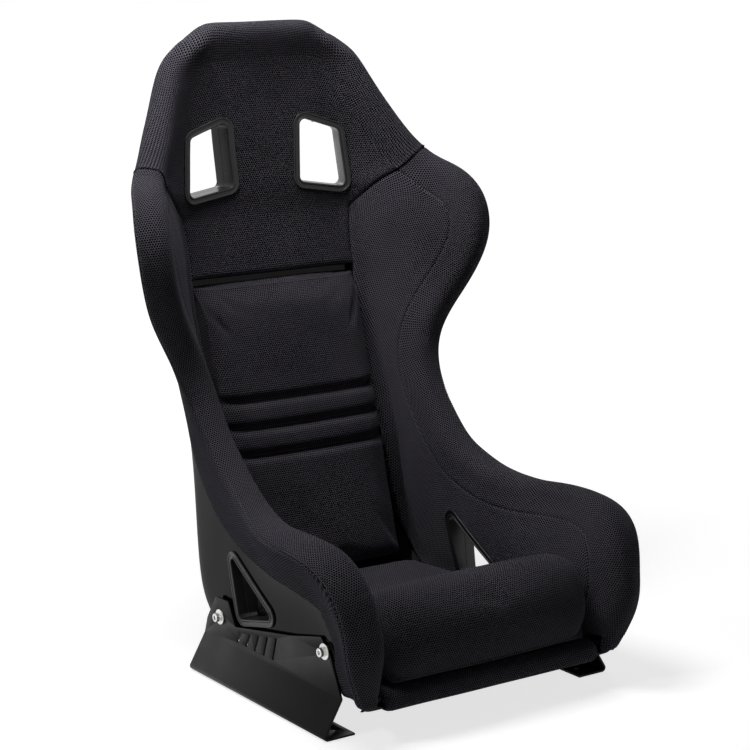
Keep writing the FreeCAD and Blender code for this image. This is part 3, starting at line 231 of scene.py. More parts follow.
    def layer(self, s: Array, v: Array, depth: Array | float) -> Array:
        """Points at a depth inside the shell's outer face."""
        s, v = np.broadcast_arrays(np.asarray(s, float), np.asarray(v, float))
        along, across = self.slopes(s, v)
        inward = unit(np.cross(across, along))
        depth = np.broadcast_to(np.asarray(depth, float), s.shape)[..., None]
        return self.point(s, v) + inward * depth

    def rim_param(self, t: Array) -> tuple[Array, Array]:
        """Station and share of the rim path: up the right side, then along the head's top."""
        return np.minimum(t, self.last), 1.0 - np.maximum(t - self.last, 0.0) / self.top_steps

    def rim_raw(self, t: Array) -> tuple[Array, Array, Array]:
        """Edge points, inward normals and outward directions of the rim."""
        end = self.last + self.top_steps
        before = self.point(*self.rim_param(np.maximum(t - 0.05, 0.0)))
        after = self.point(*self.rim_param(np.minimum(t + 0.05, end)))
        s, v = self.rim_param(t)
        along, across = self.slopes(np.maximum(s, self.foot_reach), v)
        normal = unit(np.cross(across, along))
        outward = unit(np.cross(unit(after - before), normal))
        share = smooth(t / self.foot_reach)[:, None]
        normal = unit(mix(np.array([-1.0, 0.0, 0.0]), normal, share))
        outward = unit(mix(np.array([0.0, -1.0, 0.0]), outward, share))
        return self.point(s, v), normal, outward

    def rim_frame(self, t: Array) -> tuple[Array, Array, Array]:
        """The same, rounded off at the head's corner."""
        reach = np.maximum(1.3 - np.abs(t - self.last), 0.0)
        end = self.last + self.top_steps
        sums = [np.zeros((len(t), 3)) for _ in range(3)]
        for i in range(7):
            at = np.minimum(t + reach * (i / 3.0 - 1.0), end)
            for total, part in zip(sums, self.rim_raw(at)):
                total += part
        return sums[0] / 7.0, unit(sums[1]), unit(sums[2])

    def trail(self, t: Array) -> Array:
        """Stations and shares met when walking in from the rim, (n, strides + 1, 2)."""
        s, v = (np.array(a, float) for a in self.rim_param(t))
        outward = self.rim_frame(t)[2]
        path = [np.stack([s, v], 1)]
        for _ in range(self.strides):
            along, across = self.slopes(s, v)
            normal = unit(np.cross(across, along))
            lean = (outward * normal).sum(1, keepdims=True)
            inwards = unit(normal * lean - outward) * self.stride
            aa, ab, bb = (along * along).sum(1), (along * across).sum(1), (across * across).sum(1)
            ga, gb = (inwards * along).sum(1), (inwards * across).sum(1)
            scale = aa * bb - ab * ab
            s = np.clip(s + (ga * bb - gb * ab) / scale, 0.0, self.last)
            v = v + (gb * aa - ga * ab) / scale
            path.append(np.stack([s, v], 1))
        return np.stack(path, 1)

    def walk(self, t: Array, distance: Array) -> Array:
        """Station and share at distances in from the rim.

        Args:
            t: Rim path values, (n,).
            distance: Distances, (n, m).

        Returns:
            Stations and shares, (n, m, 2).
        """
        def along(path: Array, reach: Array) -> Array:
            at = np.clip(reach / self.stride, 0.0, self.strides - 1e-6)
            i = at.astype(int)
            rows = np.arange(len(path))[:, None]
            return mix(path[rows, i], path[rows, i + 1], (at - i)[..., None])

        def lone(value: float, reach: Array) -> Array:
            path = self.trail(np.array([value]))
            return along(np.repeat(path, len(reach), 0), reach)

        found = along(self.trail(np.maximum(t, 1.0)), distance)
        share = (distance / self.rim_start_reach)[..., None]
        low = t < 1.0
        if low.any():
            edge = np.array(self.rim_param(np.array(0.0)))
            foot = mix(edge, np.array(self.foot_start), share[low])
            found[low] = mix(foot, lone(1.0, distance[low]), t[low][:, None, None])
        near = np.abs(t - self.last) < self.corner
        if near.any():
            edge = np.array([self.last, 1.0])
            aim = mix(edge, np.array(self.corner_start), share[near])
            first = lone(self.last - self.corner, distance[near])
            last = lone(self.last + self.corner, distance[near])
            part = ((t[near] - self.last + self.corner) / (2.0 * self.corner))[:, None, None]
            found[near] = mix(mix(first, aim, part), mix(aim, last, part), part)
        return found

    def rim_start(self, t: Array) -> tuple[Array, Array]:
        """Station and share where the padding's rim roll begins."""
        found = self.walk(t, np.full((len(t), 1), self.rim_start_reach))[:, 0]
        return found[:, 0], found[:, 1]


FORM = ShellForm()


# ------------------------------------------------------------------ shader building
class Shader:
    """Adds and joins nodes in one shader tree."""

    def __init__(self, tree: bpy.types.NodeTree) -> None:
        self.tree = tree

    def node(self, kind: str, **settings: object) -> bpy.types.Node:
        """Add a node and set its properties."""
        made = self.tree.nodes.new(kind)
        for name, value in settings.items():
            setattr(made, name, value)
        return made

    def feed(self, socket: bpy.types.NodeSocket, value: object) -> None:
        """Join an output to a socket, or set the socket's own value."""
        if isinstance(value, bpy.types.NodeSocket):
            self.tree.links.new(value, socket)
        else:
            socket.default_value = value

    def math(self, operation: str, *values: object) -> bpy.types.NodeSocket:
        """Result of a Math node."""
        made = self.node("ShaderNodeMath", operation=operation)
        for socket, value in zip(made.inputs, values):
            self.feed(socket, value)
        return made.outputs[0]

    def vector(self, operation: str, *values: object) -> bpy.types.NodeSocket:
        """Result of a Vector Math node."""
        made = self.node("ShaderNodeVectorMath", operation=operation)
        for socket, value in zip(made.inputs, values):
            self.feed(socket, value)
        gives_value = operation in {"LENGTH", "DISTANCE", "DOT_PRODUCT"}
        return made.outputs[1 if gives_value else 0]

    def noise(self, where: object, scale: float, detail: float = 2.0,
              rough: float = 0.5) -> bpy.types.NodeSocket:
        """Factor of a noise texture."""
        made = self.node("ShaderNodeTexNoise")
        self.feed(made.inputs["Vector"], where)
        made.inputs["Scale"].default_value = scale
        made.inputs["Detail"].default_value = detail
        made.inputs["Roughness"].default_value = rough
        return made.outputs[0]

    def ramp(self, value: object, low: float, high: float, to_low: float = 0.0,
             to_high: float = 1.0) -> bpy.types.NodeSocket:
        """Smooth step of a value between two limits."""
        made = self.node("ShaderNodeMapRange", interpolation_type="SMOOTHSTEP")
        for socket, number in zip(made.inputs, (value, low, high, to_low, to_high)):
            self.feed(socket, number)
        return made.outputs[0]

    def colour(self, share: object, a: object, b: object) -> bpy.types.NodeSocket:
        """Blend of two colours."""
        made = self.node("ShaderNodeMix", data_type="RGBA")
        self.feed(made.inputs[0], share)
        for socket, tint in zip((made.inputs[6], made.inputs[7]), (a, b)):
            self.feed(socket, tint if isinstance(tint, bpy.types.NodeSocket) else (*tint, 1.0))
        return made.outputs[2]

    def bump(self, height: object, distance: float, strength: float = 1.0,
             normal: object | None = None) -> bpy.types.NodeSocket:
        """Normal of a Bump node."""
        made = self.node("ShaderNodeBump")
        made.inputs["Strength"].default_value = strength
        made.inputs["Distance"].default_value = distance
        self.feed(made.inputs["Height"], height)
        if normal is not None:
            self.feed(made.inputs["Normal"], normal)
        return made.outputs[0]

    def group(self, tree: bpy.types.NodeTree, **values: object) -> bpy.types.Node:
        """Place a node group with its own values."""
        made = self.node("ShaderNodeGroup", node_tree=tree)
        for name, value in values.items():
            self.feed(made.inputs[name], value)
        return made


def shared_group(name: str, inputs: dict[str, tuple[str, object]],
                 outputs: dict[str, str]) -> tuple[Shader, bpy.types.Node, bpy.types.Node]:
    """Start a shader node group.

    Args:
        name: The group's name.
        inputs: Socket name to socket kind and default.
        outputs: Socket name to socket kind.

    Returns:
        The shader helper and the group's input and output nodes.
    """
    tree = bpy.data.node_groups.new(name, "ShaderNodeTree")
    for label, (kind, value) in inputs.items():
        socket = tree.interface.new_socket(label, in_out="INPUT", socket_type="NodeSocket" + kind)
        if value is not None:
            socket.default_value = value
    for label, kind in outputs.items():
        tree.interface.new_socket(label, in_out="OUTPUT", socket_type="NodeSocket" + kind)
    shader = Shader(tree)
    return shader, shader.node("NodeGroupInput"), shader.node("NodeGroupOutput")


def spacer_mesh_group() -> bpy.types.NodeTree:
    """Knitted spacer mesh: rows of small round holes between raised threads.

    Returns:
        Group with the outputs Hole (1 in a hole), Height and Thread (brightness: painted shade that
        darkens the thread towards each hole).
    """
    shader, start, end = shared_group(
        "spacer mesh", {"Vector": ("Vector", None), "Pitch": ("Float", 3.6 * MM),
                        "Hole Size": ("Float", 0.44)},
        {"Hole": "Float", "Height": "Float", "Thread": "Float"})
    split = shader.node("ShaderNodeSeparateXYZ")
    shader.feed(split.inputs[0], start.outputs["Vector"])
    root = math.sqrt(3.0)
    x = shader.math("DIVIDE", split.outputs[0], start.outputs["Pitch"])
    y = shader.math("DIVIDE", split.outputs[1], start.outputs["Pitch"])
    y = shader.math("DIVIDE", y, root)
    reach = []
    for shift in (0.0, 0.5):
        a = shader.math("SUBTRACT", shader.math("FRACT", shader.math("ADD", x, shift)), 0.5)
        b = shader.math("SUBTRACT", shader.math("FRACT", shader.math("ADD", y, shift)), 0.5)
        b = shader.math("MULTIPLY", b, root)
        square = shader.math("ADD", shader.math("MULTIPLY", a, a), shader.math("MULTIPLY", b, b))
        reach.append(shader.math("SQRT", square))
    near = shader.math("MINIMUM", *reach)
    hole = shader.ramp(near, start.outputs["Hole Size"],
                       shader.math("MULTIPLY", start.outputs["Hole Size"], 0.55))
    # painted shade: the thread's brightness falls from 1 on its crest to 0.15 at a hole's edge
    thread = shader.ramp(near, 0.34, 0.56, 0.15, 1.0)
    height = shader.math("SUBTRACT", shader.math("MULTIPLY", thread, 0.6), hole)
    shader.feed(end.inputs["Hole"], hole)
    shader.feed(end.inputs["Thread"], thread)
    shader.feed(end.inputs["Height"], height)
    return shader.tree


def wear_group() -> bpy.types.NodeTree:
    """Slow unevenness of a surface, as handling and dust leave it.

    Returns:
        Group with the outputs Cloud (slow) and Grain (fine), both about 0 to 1.
    """
    shader, start, end = shared_group(
        "handling", {"Vector": ("Vector", None), "Cloud Scale": ("Float", 9.0),
                     "Grain Scale": ("Float", 260.0)}, {"Cloud": "Float", "Grain": "Float"})
    for name, detail in (("Cloud", 4.0), ("Grain", 2.0)):
        texture = shader.node("ShaderNodeTexNoise")
        shader.feed(texture.inputs["Vector"], start.outputs["Vector"])
        shader.feed(texture.inputs["Scale"], start.outputs[name + " Scale"])
        texture.inputs["Detail"].default_value = detail
        shader.feed(end.inputs[name], shader.ramp(texture.outputs[0], 0.3, 0.7))
    return shader.tree


class Groups:
    """The shader groups that more than one finish uses, each built once."""

    made: dict[str, bpy.types.NodeTree] = {}

    @classmethod
    def get(cls, build: Callable[[], bpy.types.NodeTree]) -> bpy.types.NodeTree:
        """The group that a builder makes."""
        if build.__name__ not in cls.made:
            cls.made[build.__name__] = build()
        return cls.made[build.__name__]


def principled(name: str, **constants: object) -> tuple[bpy.types.Material, Shader, bpy.types.Node]:
    """Start a material whose Principled BSDF has some plain values.

    Args:
        name: The material's name.
        constants: Socket names, with _ for spaces, to values.

    Returns:
        The material, its shader helper and its Principled BSDF.
    """
    material = bpy.data.materials.new(name)
    material.use_nodes = True
    shader = Shader(material.node_tree)
    surface = material.node_tree.nodes["Principled BSDF"]
    for key, value in constants.items():
        surface.inputs[key.replace("_", " ")].default_value = value
    return material, shader, surface


@dataclass(frozen=True)
class MeshFabric:
    """Black spacer-mesh upholstery; the mesh follows the piece's UV map, in metres."""

    name: str = "spacer_mesh_fabric"
    pitch: float = 3.7 * MM
    thread: tuple = (0.135, 0.127, 0.152)
    # painted shade: the colour of the holes, nearly black for the shade inside them
    hole_shade: tuple = (0.0015, 0.0015, 0.002)

    def material(self) -> bpy.types.Material:
        """Build the material."""
        material, shader, surface = principled(
            self.name, Sheen_Weight=0.10, Sheen_Roughness=0.4, Sheen_Tint=(0.72, 0.70, 0.86, 1.0),
            Specular_IOR_Level=0.03)
        place = shader.node("ShaderNodeTexCoord")
        weave = shader.group(Groups.get(spacer_mesh_group), Vector=place.outputs["UV"],
                             Pitch=self.pitch)
        wear = shader.group(Groups.get(wear_group), Vector=place.outputs["Object"])
        cloud = shader.math("MULTIPLY_ADD", wear.outputs["Cloud"], 0.28, 0.86)
        # painted shade: the thread darkens towards the holes, times a random tone from the cloud
        light = shader.math("MULTIPLY", weave.outputs["Thread"], cloud)
        thread = shader.colour(light, tuple(0.18 * c for c in self.thread), self.thread)
        # painted shade: the holes take the nearly black colour that stands for the shade inside
        # them
        tint = shader.colour(weave.outputs["Hole"], thread, self.hole_shade)
        shader.feed(surface.inputs["Base Color"], tint)
        fuzz = shader.math("MULTIPLY_ADD", wear.outputs["Grain"], 0.12, 0.82)
        shader.feed(surface.inputs["Roughness"], fuzz)
        knit = shader.bump(weave.outputs["Height"], 0.7 * MM, 0.8)
        relief = shader.bump(wear.outputs["Cloud"], 1.2 * MM, 0.35, knit)
        shader.feed(surface.inputs["Normal"], relief)
        return material


@dataclass(frozen=True)
class GlossLaminate:
    """Black gel coat over laminate: deep gloss with a faint print of the cloth below."""

    name: str = "black_gel_coat"
    tint: tuple = (0.0035, 0.0032, 0.0028)

    def material(self) -> bpy.types.Material:
        """Build the material."""
        material, shader, surface = principled(
            self.name, Coat_Weight=0.22, Coat_Roughness=0.02, Coat_IOR=1.50, Specular_IOR_Level=0.0)
        place = shader.node("ShaderNodeTexCoord").outputs["Object"]
        wear = shader.group(Groups.get(wear_group), **{"Vector": place, "Cloud Scale": 5.0,
                                                       "Grain Scale": 120.0})
        tint = shader.colour(wear.outputs["Cloud"], self.tint, tuple(1.7 * c for c in self.tint))
        shader.feed(surface.inputs["Base Color"], tint)
        rough = shader.math("MULTIPLY_ADD", wear.outputs["Cloud"], 0.10, 0.16)
        shader.feed(surface.inputs["Roughness"], rough)
        print_through = shader.math("ADD", shader.math("MULTIPLY", wear.outputs["Cloud"], 0.8),
                                    shader.math("MULTIPLY", wear.outputs["Grain"], 0.05))
        shader.feed(surface.inputs["Normal"], shader.bump(print_through, 0.5 * MM, 0.25))
        return material


@dataclass(frozen=True)
class GrainedBlack:
    """Black plastic or paint with a fine grain and a cloudy tone."""

    name: str
    tint: tuple = (0.012, 0.012, 0.013)
    roughness: float = 0.34
    grain: float = 0.06 * MM
    grain_scale: float = 900.0
    coat: float = 0.0
    shine: float = 0.3

    def material(self) -> bpy.types.Material:
        """Build the material."""
        material, shader, surface = principled(
            self.name, Coat_Weight=self.coat, Coat_Roughness=0.12, Coat_IOR=1.2,
            Specular_IOR_Level=self.shine)
        place = shader.node("ShaderNodeTexCoord").outputs["Object"]
        wear = shader.group(Groups.get(wear_group), **{"Vector": place, "Cloud Scale": 22.0,
                                                       "Grain Scale": self.grain_scale})
        tint = shader.colour(wear.outputs["Cloud"], self.tint, tuple(1.6 * c for c in self.tint))
        shader.feed(surface.inputs["Base Color"], tint)
        rough = shader.math("MULTIPLY_ADD", wear.outputs["Cloud"], 0.10, self.roughness)
        shader.feed(surface.inputs["Roughness"], rough)
        shader.feed(surface.inputs["Normal"], shader.bump(wear.outputs["Grain"], self.grain, 0.5))
        return material


@dataclass(frozen=True)
class BrightMetal:
    """Plated steel with a fine grain and a clouded plating."""

    name: str
    tint: tuple = (0.78, 0.78, 0.76)
    shade: tuple = (0.60, 0.60, 0.58)
    roughness: float = 0.22

    def material(self) -> bpy.types.Material:
        """Build the material."""
        material, shader, surface = principled(self.name, Metallic=1.0)
        place = shader.node("ShaderNodeTexCoord").outputs["Object"]
        wear = shader.group(Groups.get(wear_group), **{"Vector": place, "Cloud Scale": 140.0,
                                                       "Grain Scale": 2200.0})
        shader.feed(surface.inputs["Base Color"],
                    shader.colour(wear.outputs["Cloud"], self.shade, self.tint))
        rough = shader.math("MULTIPLY_ADD", wear.outputs["Grain"], 0.14, self.roughness)
        shader.feed(surface.inputs["Roughness"], rough)
        shader.feed(surface.inputs["Normal"],
                    shader.bump(wear.outputs["Grain"], 0.03 * MM, 0.4))
        return material


@dataclass(frozen=True)
class SewingThread:
    """Twisted black sewing thread."""

    name: str = "sewing_thread"
    tint: tuple = (0.030, 0.029, 0.033)

    def material(self) -> bpy.types.Material:
        """Build the material."""
        material, shader, surface = principled(self.name, Roughness=0.55, Sheen_Weight=0.3)
        place = shader.node("ShaderNodeTexCoord").outputs["Object"]
        twist = shader.noise(place, 1800.0, 1.0)
        shader.feed(surface.inputs["Base Color"],
                    shader.colour(twist, tuple(0.5 * c for c in self.tint), self.tint))
        shader.feed(surface.inputs["Normal"], shader.bump(twist, 0.15 * MM, 0.6))
        return material


class Finish(Enum):
    """Every finish on the seat."""

    FABRIC = MeshFabric()
    SHELL = GlossLaminate()
    BEZEL = GrainedBlack("satin_bezel_plastic", roughness=0.26, grain_scale=1400.0)
    MOUNT = GrainedBlack("powder_coated_steel", (0.003, 0.003, 0.0035), 0.30, 0.05 * MM, 1100.0,
                         0.0, 0.10)
    TAPE = GrainedBlack("looped_tape", (0.015, 0.015, 0.015), 0.85, 0.4 * MM, 1500.0)
    ZINC = BrightMetal("bright_zinc")
    INSERT = BrightMetal("plated_insert", (0.62, 0.58, 0.46), (0.44, 0.40, 0.32), 0.34)
    THREAD = SewingThread()

    def material(self) -> bpy.types.Material:
        """The finish's material, built once."""
        name = self.value.name
        return bpy.data.materials.get(name) or self.value.material()


# ------------------------------------------------------------------ meshes
def new_piece(name: str, points: Array, faces: Sequence, finish: Finish) -> bpy.types.Object:
    """Make a smooth mesh object with a finish.

    Args:
        name: The piece's name.
        points: Vertices, (n, 3), in metres.
        faces: Vertex indices of each face.
        finish: Its finish.

    Returns:
        The new object, with its faces pointing outwards.
    """
    mesh = bpy.data.meshes.new(name)
    mesh.from_pydata(np.asarray(points).tolist(), [], [tuple(int(i) for i in f) for f in faces])
    mesh.validate()
    work = bmesh.new()
    work.from_mesh(mesh)
    loose = [v for v in work.verts if not v.link_faces]
    bmesh.ops.delete(work, geom=loose, context="VERTS")
    bmesh.ops.recalc_face_normals(work, faces=work.faces)
    work.to_mesh(mesh)
    work.free()
    mesh.shade_smooth()
    mesh.materials.append(finish.material())
    piece = bpy.data.objects.new(name, mesh)
    bpy.context.scene.collection.objects.link(piece)
    return piece


def grid_faces(rows: int, columns: int, closed: bool = False) -> Array:
    """Quads of a grid of vertices, counted row by row; `closed` joins the last column."""
    width = columns if closed else columns - 1
    i, j = np.meshgrid(np.arange(rows - 1), np.arange(width), indexing="ij")
    a = i * columns + j
    b = i * columns + (j + 1) % columns
    return np.stack([a, b, b + columns, a + columns], -1).reshape(-1, 4)


def slab(outer: Array, inner: Array, faces: Array) -> tuple[Array, list]:
    """Close the space between two sheets that share their layout.

    Args:
        outer: Vertices of one side, (n, 3).
        inner: Vertices of the other side, (n, 3).
        faces: Quads of a side.

    Returns:
        Vertices and faces of the closed form.
    """
    count = len(outer)
    pairs = np.concatenate([faces[:, [k, (k + 1) % 4]] for k in range(4)])
    keys = np.sort(pairs, 1) @ np.array([count, 1])
    _, where, seen = np.unique(keys, return_index=True, return_counts=True)
    rim = pairs[where[seen == 1]]
    walls = np.stack([rim[:, 1], rim[:, 0], rim[:, 0] + count, rim[:, 1] + count], 1)
    sides = [faces, faces[:, ::-1] + count, walls]
    return np.concatenate([outer, inner]), np.concatenate(sides).tolist()


def sheet_normals(points: Array, faces: Array) -> Array:
    """Vertex normals of a sheet of quads."""
    first = points[faces[:, 2]] - points[faces[:, 0]]
    second = points[faces[:, 3]] - points[faces[:, 1]]
    cross = np.cross(first, second)
    total = np.zeros_like(points)
    for k in range(4):
        np.add.at(total, faces[:, k], cross)
    return unit(total)


def relaxed(points: Array, faces: Array, share: Array, rounds: int) -> Array:
    """Smooth the marked vertices of a sheet, without shrinking it.

    Args:
        points: Vertices.
        faces: Quads.
        share: How far each vertex moves in a round, 0 to 1.
        rounds: Number of rounds.

    Returns:
        Moved vertices.
    """
    pairs = np.concatenate([faces[:, [k, (k + 1) % 4]] for k in range(4)])
    pairs = np.concatenate([pairs, pairs[:, ::-1]])
    count = np.maximum(np.bincount(pairs[:, 0], minlength=len(points)), 1)[:, None]
    for _ in range(rounds):
        for sign in (1.0, -1.04):
            total = np.zeros_like(points)
            np.add.at(total, pairs[:, 0], points[pairs[:, 1]])
            points = points + (total / count - points) * (sign * share)[:, None]
    return points


def distance_to(points: Array, line: Array) -> Array:
    """Distance from each point to the nearest of a dense line's points."""
    tree = KDTree(len(line))
    for i, place in enumerate(line):
        tree.insert(place, i)
    tree.balance()
    return np.array([tree.find(place)[2] for place in points])


def gentle_noise(points: Array, size: float, seed: int) -> Array:
    """Smooth unevenness between -1 and 1, from a few fixed waves."""
    random = np.random.default_rng(seed)
    total = np.zeros(len(points))
    for _ in range(9):
        wave = unit(random.normal(size=3)) * 2.0 * math.pi / size * random.uniform(0.6, 1.5)
        total += np.sin(points @ wave + random.uniform(0.0, 2.0 * math.pi))
    return total / 6.0


def put_uv(piece: bpy.types.Object, uv: Array) -> None:
    """Give a piece a UV map, in metres, from one value for each vertex."""
    mesh = piece.data
    layer = mesh.uv_layers.new(name="cloth")
    index = np.empty(len(mesh.loops), int)
    mesh.loops.foreach_get("vertex_index", index)
    layer.data.foreach_set("uv", uv[index].ravel())


def corner_uv(piece: bpy.types.Object, faces: Sequence, corners: Array, used: Array) -> None:
    """Give a piece a UV map, in metres, from values for the corners of its first quads.

    Args:
        piece: The piece.
        faces: The quads it was made from.
        corners: Values, (m, 4, 2), for the first m of them; the others repeat these.
        used: The vertices that the piece kept.
    """
    mesh = piece.data
    layer = mesh.uv_layers.new(name="cloth")
    index = np.empty(len(mesh.loops), int)
    mesh.loops.foreach_get("vertex_index", index)
    faces = np.array(faces)
    owner = np.repeat(np.arange(len(faces)), 4)
    match = (faces[owner] == used[index][:, None]).argmax(1)
    layer.data.foreach_set("uv", corners[owner % len(corners), match].ravel())


def cloth_strips(sheet: Array, run: Array, columns: Sequence[int], faces: Array) -> Array:
    """Flat map of the strips that a grid is sewn from, each laid out from its own middle.

    Args:
        sheet: Grid of points, (rows, columns, 3).
        run: Length run along each row.
        columns: Columns of the seams, the first and last ones included.
        faces: The grid's quads.

    Returns:
        Values in metres for the corners of each quad, (m, 4, 2).
    """
    width = sheet.shape[1]
    column = faces % width
    result = np.zeros(faces.shape + (2,))
    for a, b in zip(columns, columns[1:]):
        middle = (a + b) // 2
        along = chords(sheet[None, :, middle])[0]
        here = (column.min(1) >= a) & (column.max(1) <= b)
        across = (run - run[:, [middle]]).ravel()
        result[here, :, 0] = across[faces[here]] + 0.7 * a
        result[here, :, 1] = along[faces[here] // width]
    return result


def finished(piece: bpy.types.Object, stands_for: Sequence[str] = (),
             fill: float | None = None) -> bpy.types.Object:
    """Tie a piece to the seat.

    Args:
        piece: The piece.
        stands_for: CAD nodes that it replaces.
        fill: Tightness of its padding, where it is padded.

    Returns:
        fill: Tightness of its padding, where it is padded; not used.
    """
    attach(piece, "root")
    if stands_for:
        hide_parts(*stands_for)
    LOG.info("%s: %d faces", piece.name, len(piece.data.polygons))
    return piece


# ------------------------------------------------------------------ padding glued to the shell
def hook_keys(t: Array, fabric: bool) -> Array:
    """Points of the rim padding's section, from its start round the edge to the hem.

    Args:
        t: Rim path values, (n,).
        fabric: True for the fabric, False for the side that lies on the shell.

    Returns:
        Points, (n, 10, 3).
    """
    pad, tuck = FORM.size(10, t), FORM.size(11, t)
    start, crown, outside, wall = FORM.rim_start_reach, 12.0 * MM, 8.5 * MM, FORM.wall
    foam_end = np.minimum(12.0 * MM, 0.3 * tuck) - tuck
    midway = 0.5 * (foam_end - 5.0 * MM)
    one = np.ones_like(pad)
    if fabric:
        pairs = [(-0.45 * start * one, pad + 1.0 * MM), (0.25 * crown * one, pad - 2.0 * MM),
                 (0.85 * crown * one, 0.75 * pad), (crown * one, 0.45 * pad),
                 (0.95 * crown * one, 0.1 * pad), (0.55 * crown * one, -0.6 * outside * one),
                 (-5.0 * MM * one, -outside * one), (midway, -0.8 * outside * one),
                 (foam_end, -4.4 * MM * one), (-tuck, -2.4 * MM * one)]
    else:
        lift, gap, edge = wall + 0.4 * MM, -0.4 * MM, 0.8 * MM
        pairs = [(-0.45 * start * one, lift * one), (-6.0 * MM * one, lift * one),
                 (0.5 * edge * one, lift * one), (edge * one, 0.75 * wall * one),
                 (edge * one, 0.25 * wall * one), (0.5 * edge * one, gap * one),
                 (-5.0 * MM * one, gap * one), (midway, gap * one), (foam_end, gap * one),
                 (-tuck, gap * one)]
    out = np.stack([pair[0] for pair in pairs], 1)
    up = np.stack([pair[1] for pair in pairs], 1)
    edge_point, normal, outward = FORM.rim_frame(t)
    past = edge_point[:, None] + outward[:, None] * out[..., None] + normal[:, None] * up[..., None]
    place = FORM.walk(t, np.maximum(-out, 0.0))
    laid = FORM.layer(place[..., 0], place[..., 1], up)
    return np.where((out >= 0.0)[..., None], past, laid)


def resampled(outer: Array, inner: Array, landmarks: Sequence[int],
              counts: Sequence[int]) -> tuple[Array, Array, Array, list[int]]:
    """Fill in smooth rows through key points, gathered at the seams.

    Args:
        outer: Key points of the fabric, (n, k, 3).
        inner: Key points under it, (n, k, 3).
        landmarks: Key indices of the seams, the first and last ones included.
        counts: Steps between one landmark and the next.

    Returns:
        Fabric points, points under it, length run along each row, and the columns of the
        landmarks.
    """
    run = chords(outer)
    parts, columns = [], [0]
    for a, b, count in zip(landmarks, landmarks[1:], counts):
        parts.append(mix(run[:, a, None], run[:, b, None], eased(count)[None]))
        columns.append(columns[-1] + count)
    parts.append(run[:, landmarks[-1], None])
    at = np.concatenate(parts, 1)
    fabric = spline_values(run, outer, second_slopes(run, outer), at)
    below_run = chords(inner)
    below_at = np.stack([np.interp(a, r, b) for a, r, b in zip(at, run, below_run)])
    below = spline_values(below_run, inner, second_slopes(below_run, inner), below_at)
    return fabric, below, at, columns


@dataclass
class Seam:
    """A sewn line: the fabric sinks at the line and swells a little beside it."""

    depth: float = 1.3 * MM
    width: float = 1.7 * MM
    swell: float = 0.4 * MM

    def shape(self, distance: Array) -> Array:
        """Height of the fabric at a distance from the line."""
        sunk = -self.depth * bell(distance, self.width)
        return sunk + self.swell * bell(np.abs(distance) - 4.0 * self.width, 2.5 * self.width)


SEAM_LINES: list[tuple[Array, Array]] = []
SURFACES: dict[str, BVHTree] = {}


def remember(name: str, points: Array, faces: Array) -> None:
    """Keep an uncut surface, so that a bezel can be laid on it."""
    SURFACES[name] = BVHTree.FromPolygons(points.tolist(), faces.tolist())


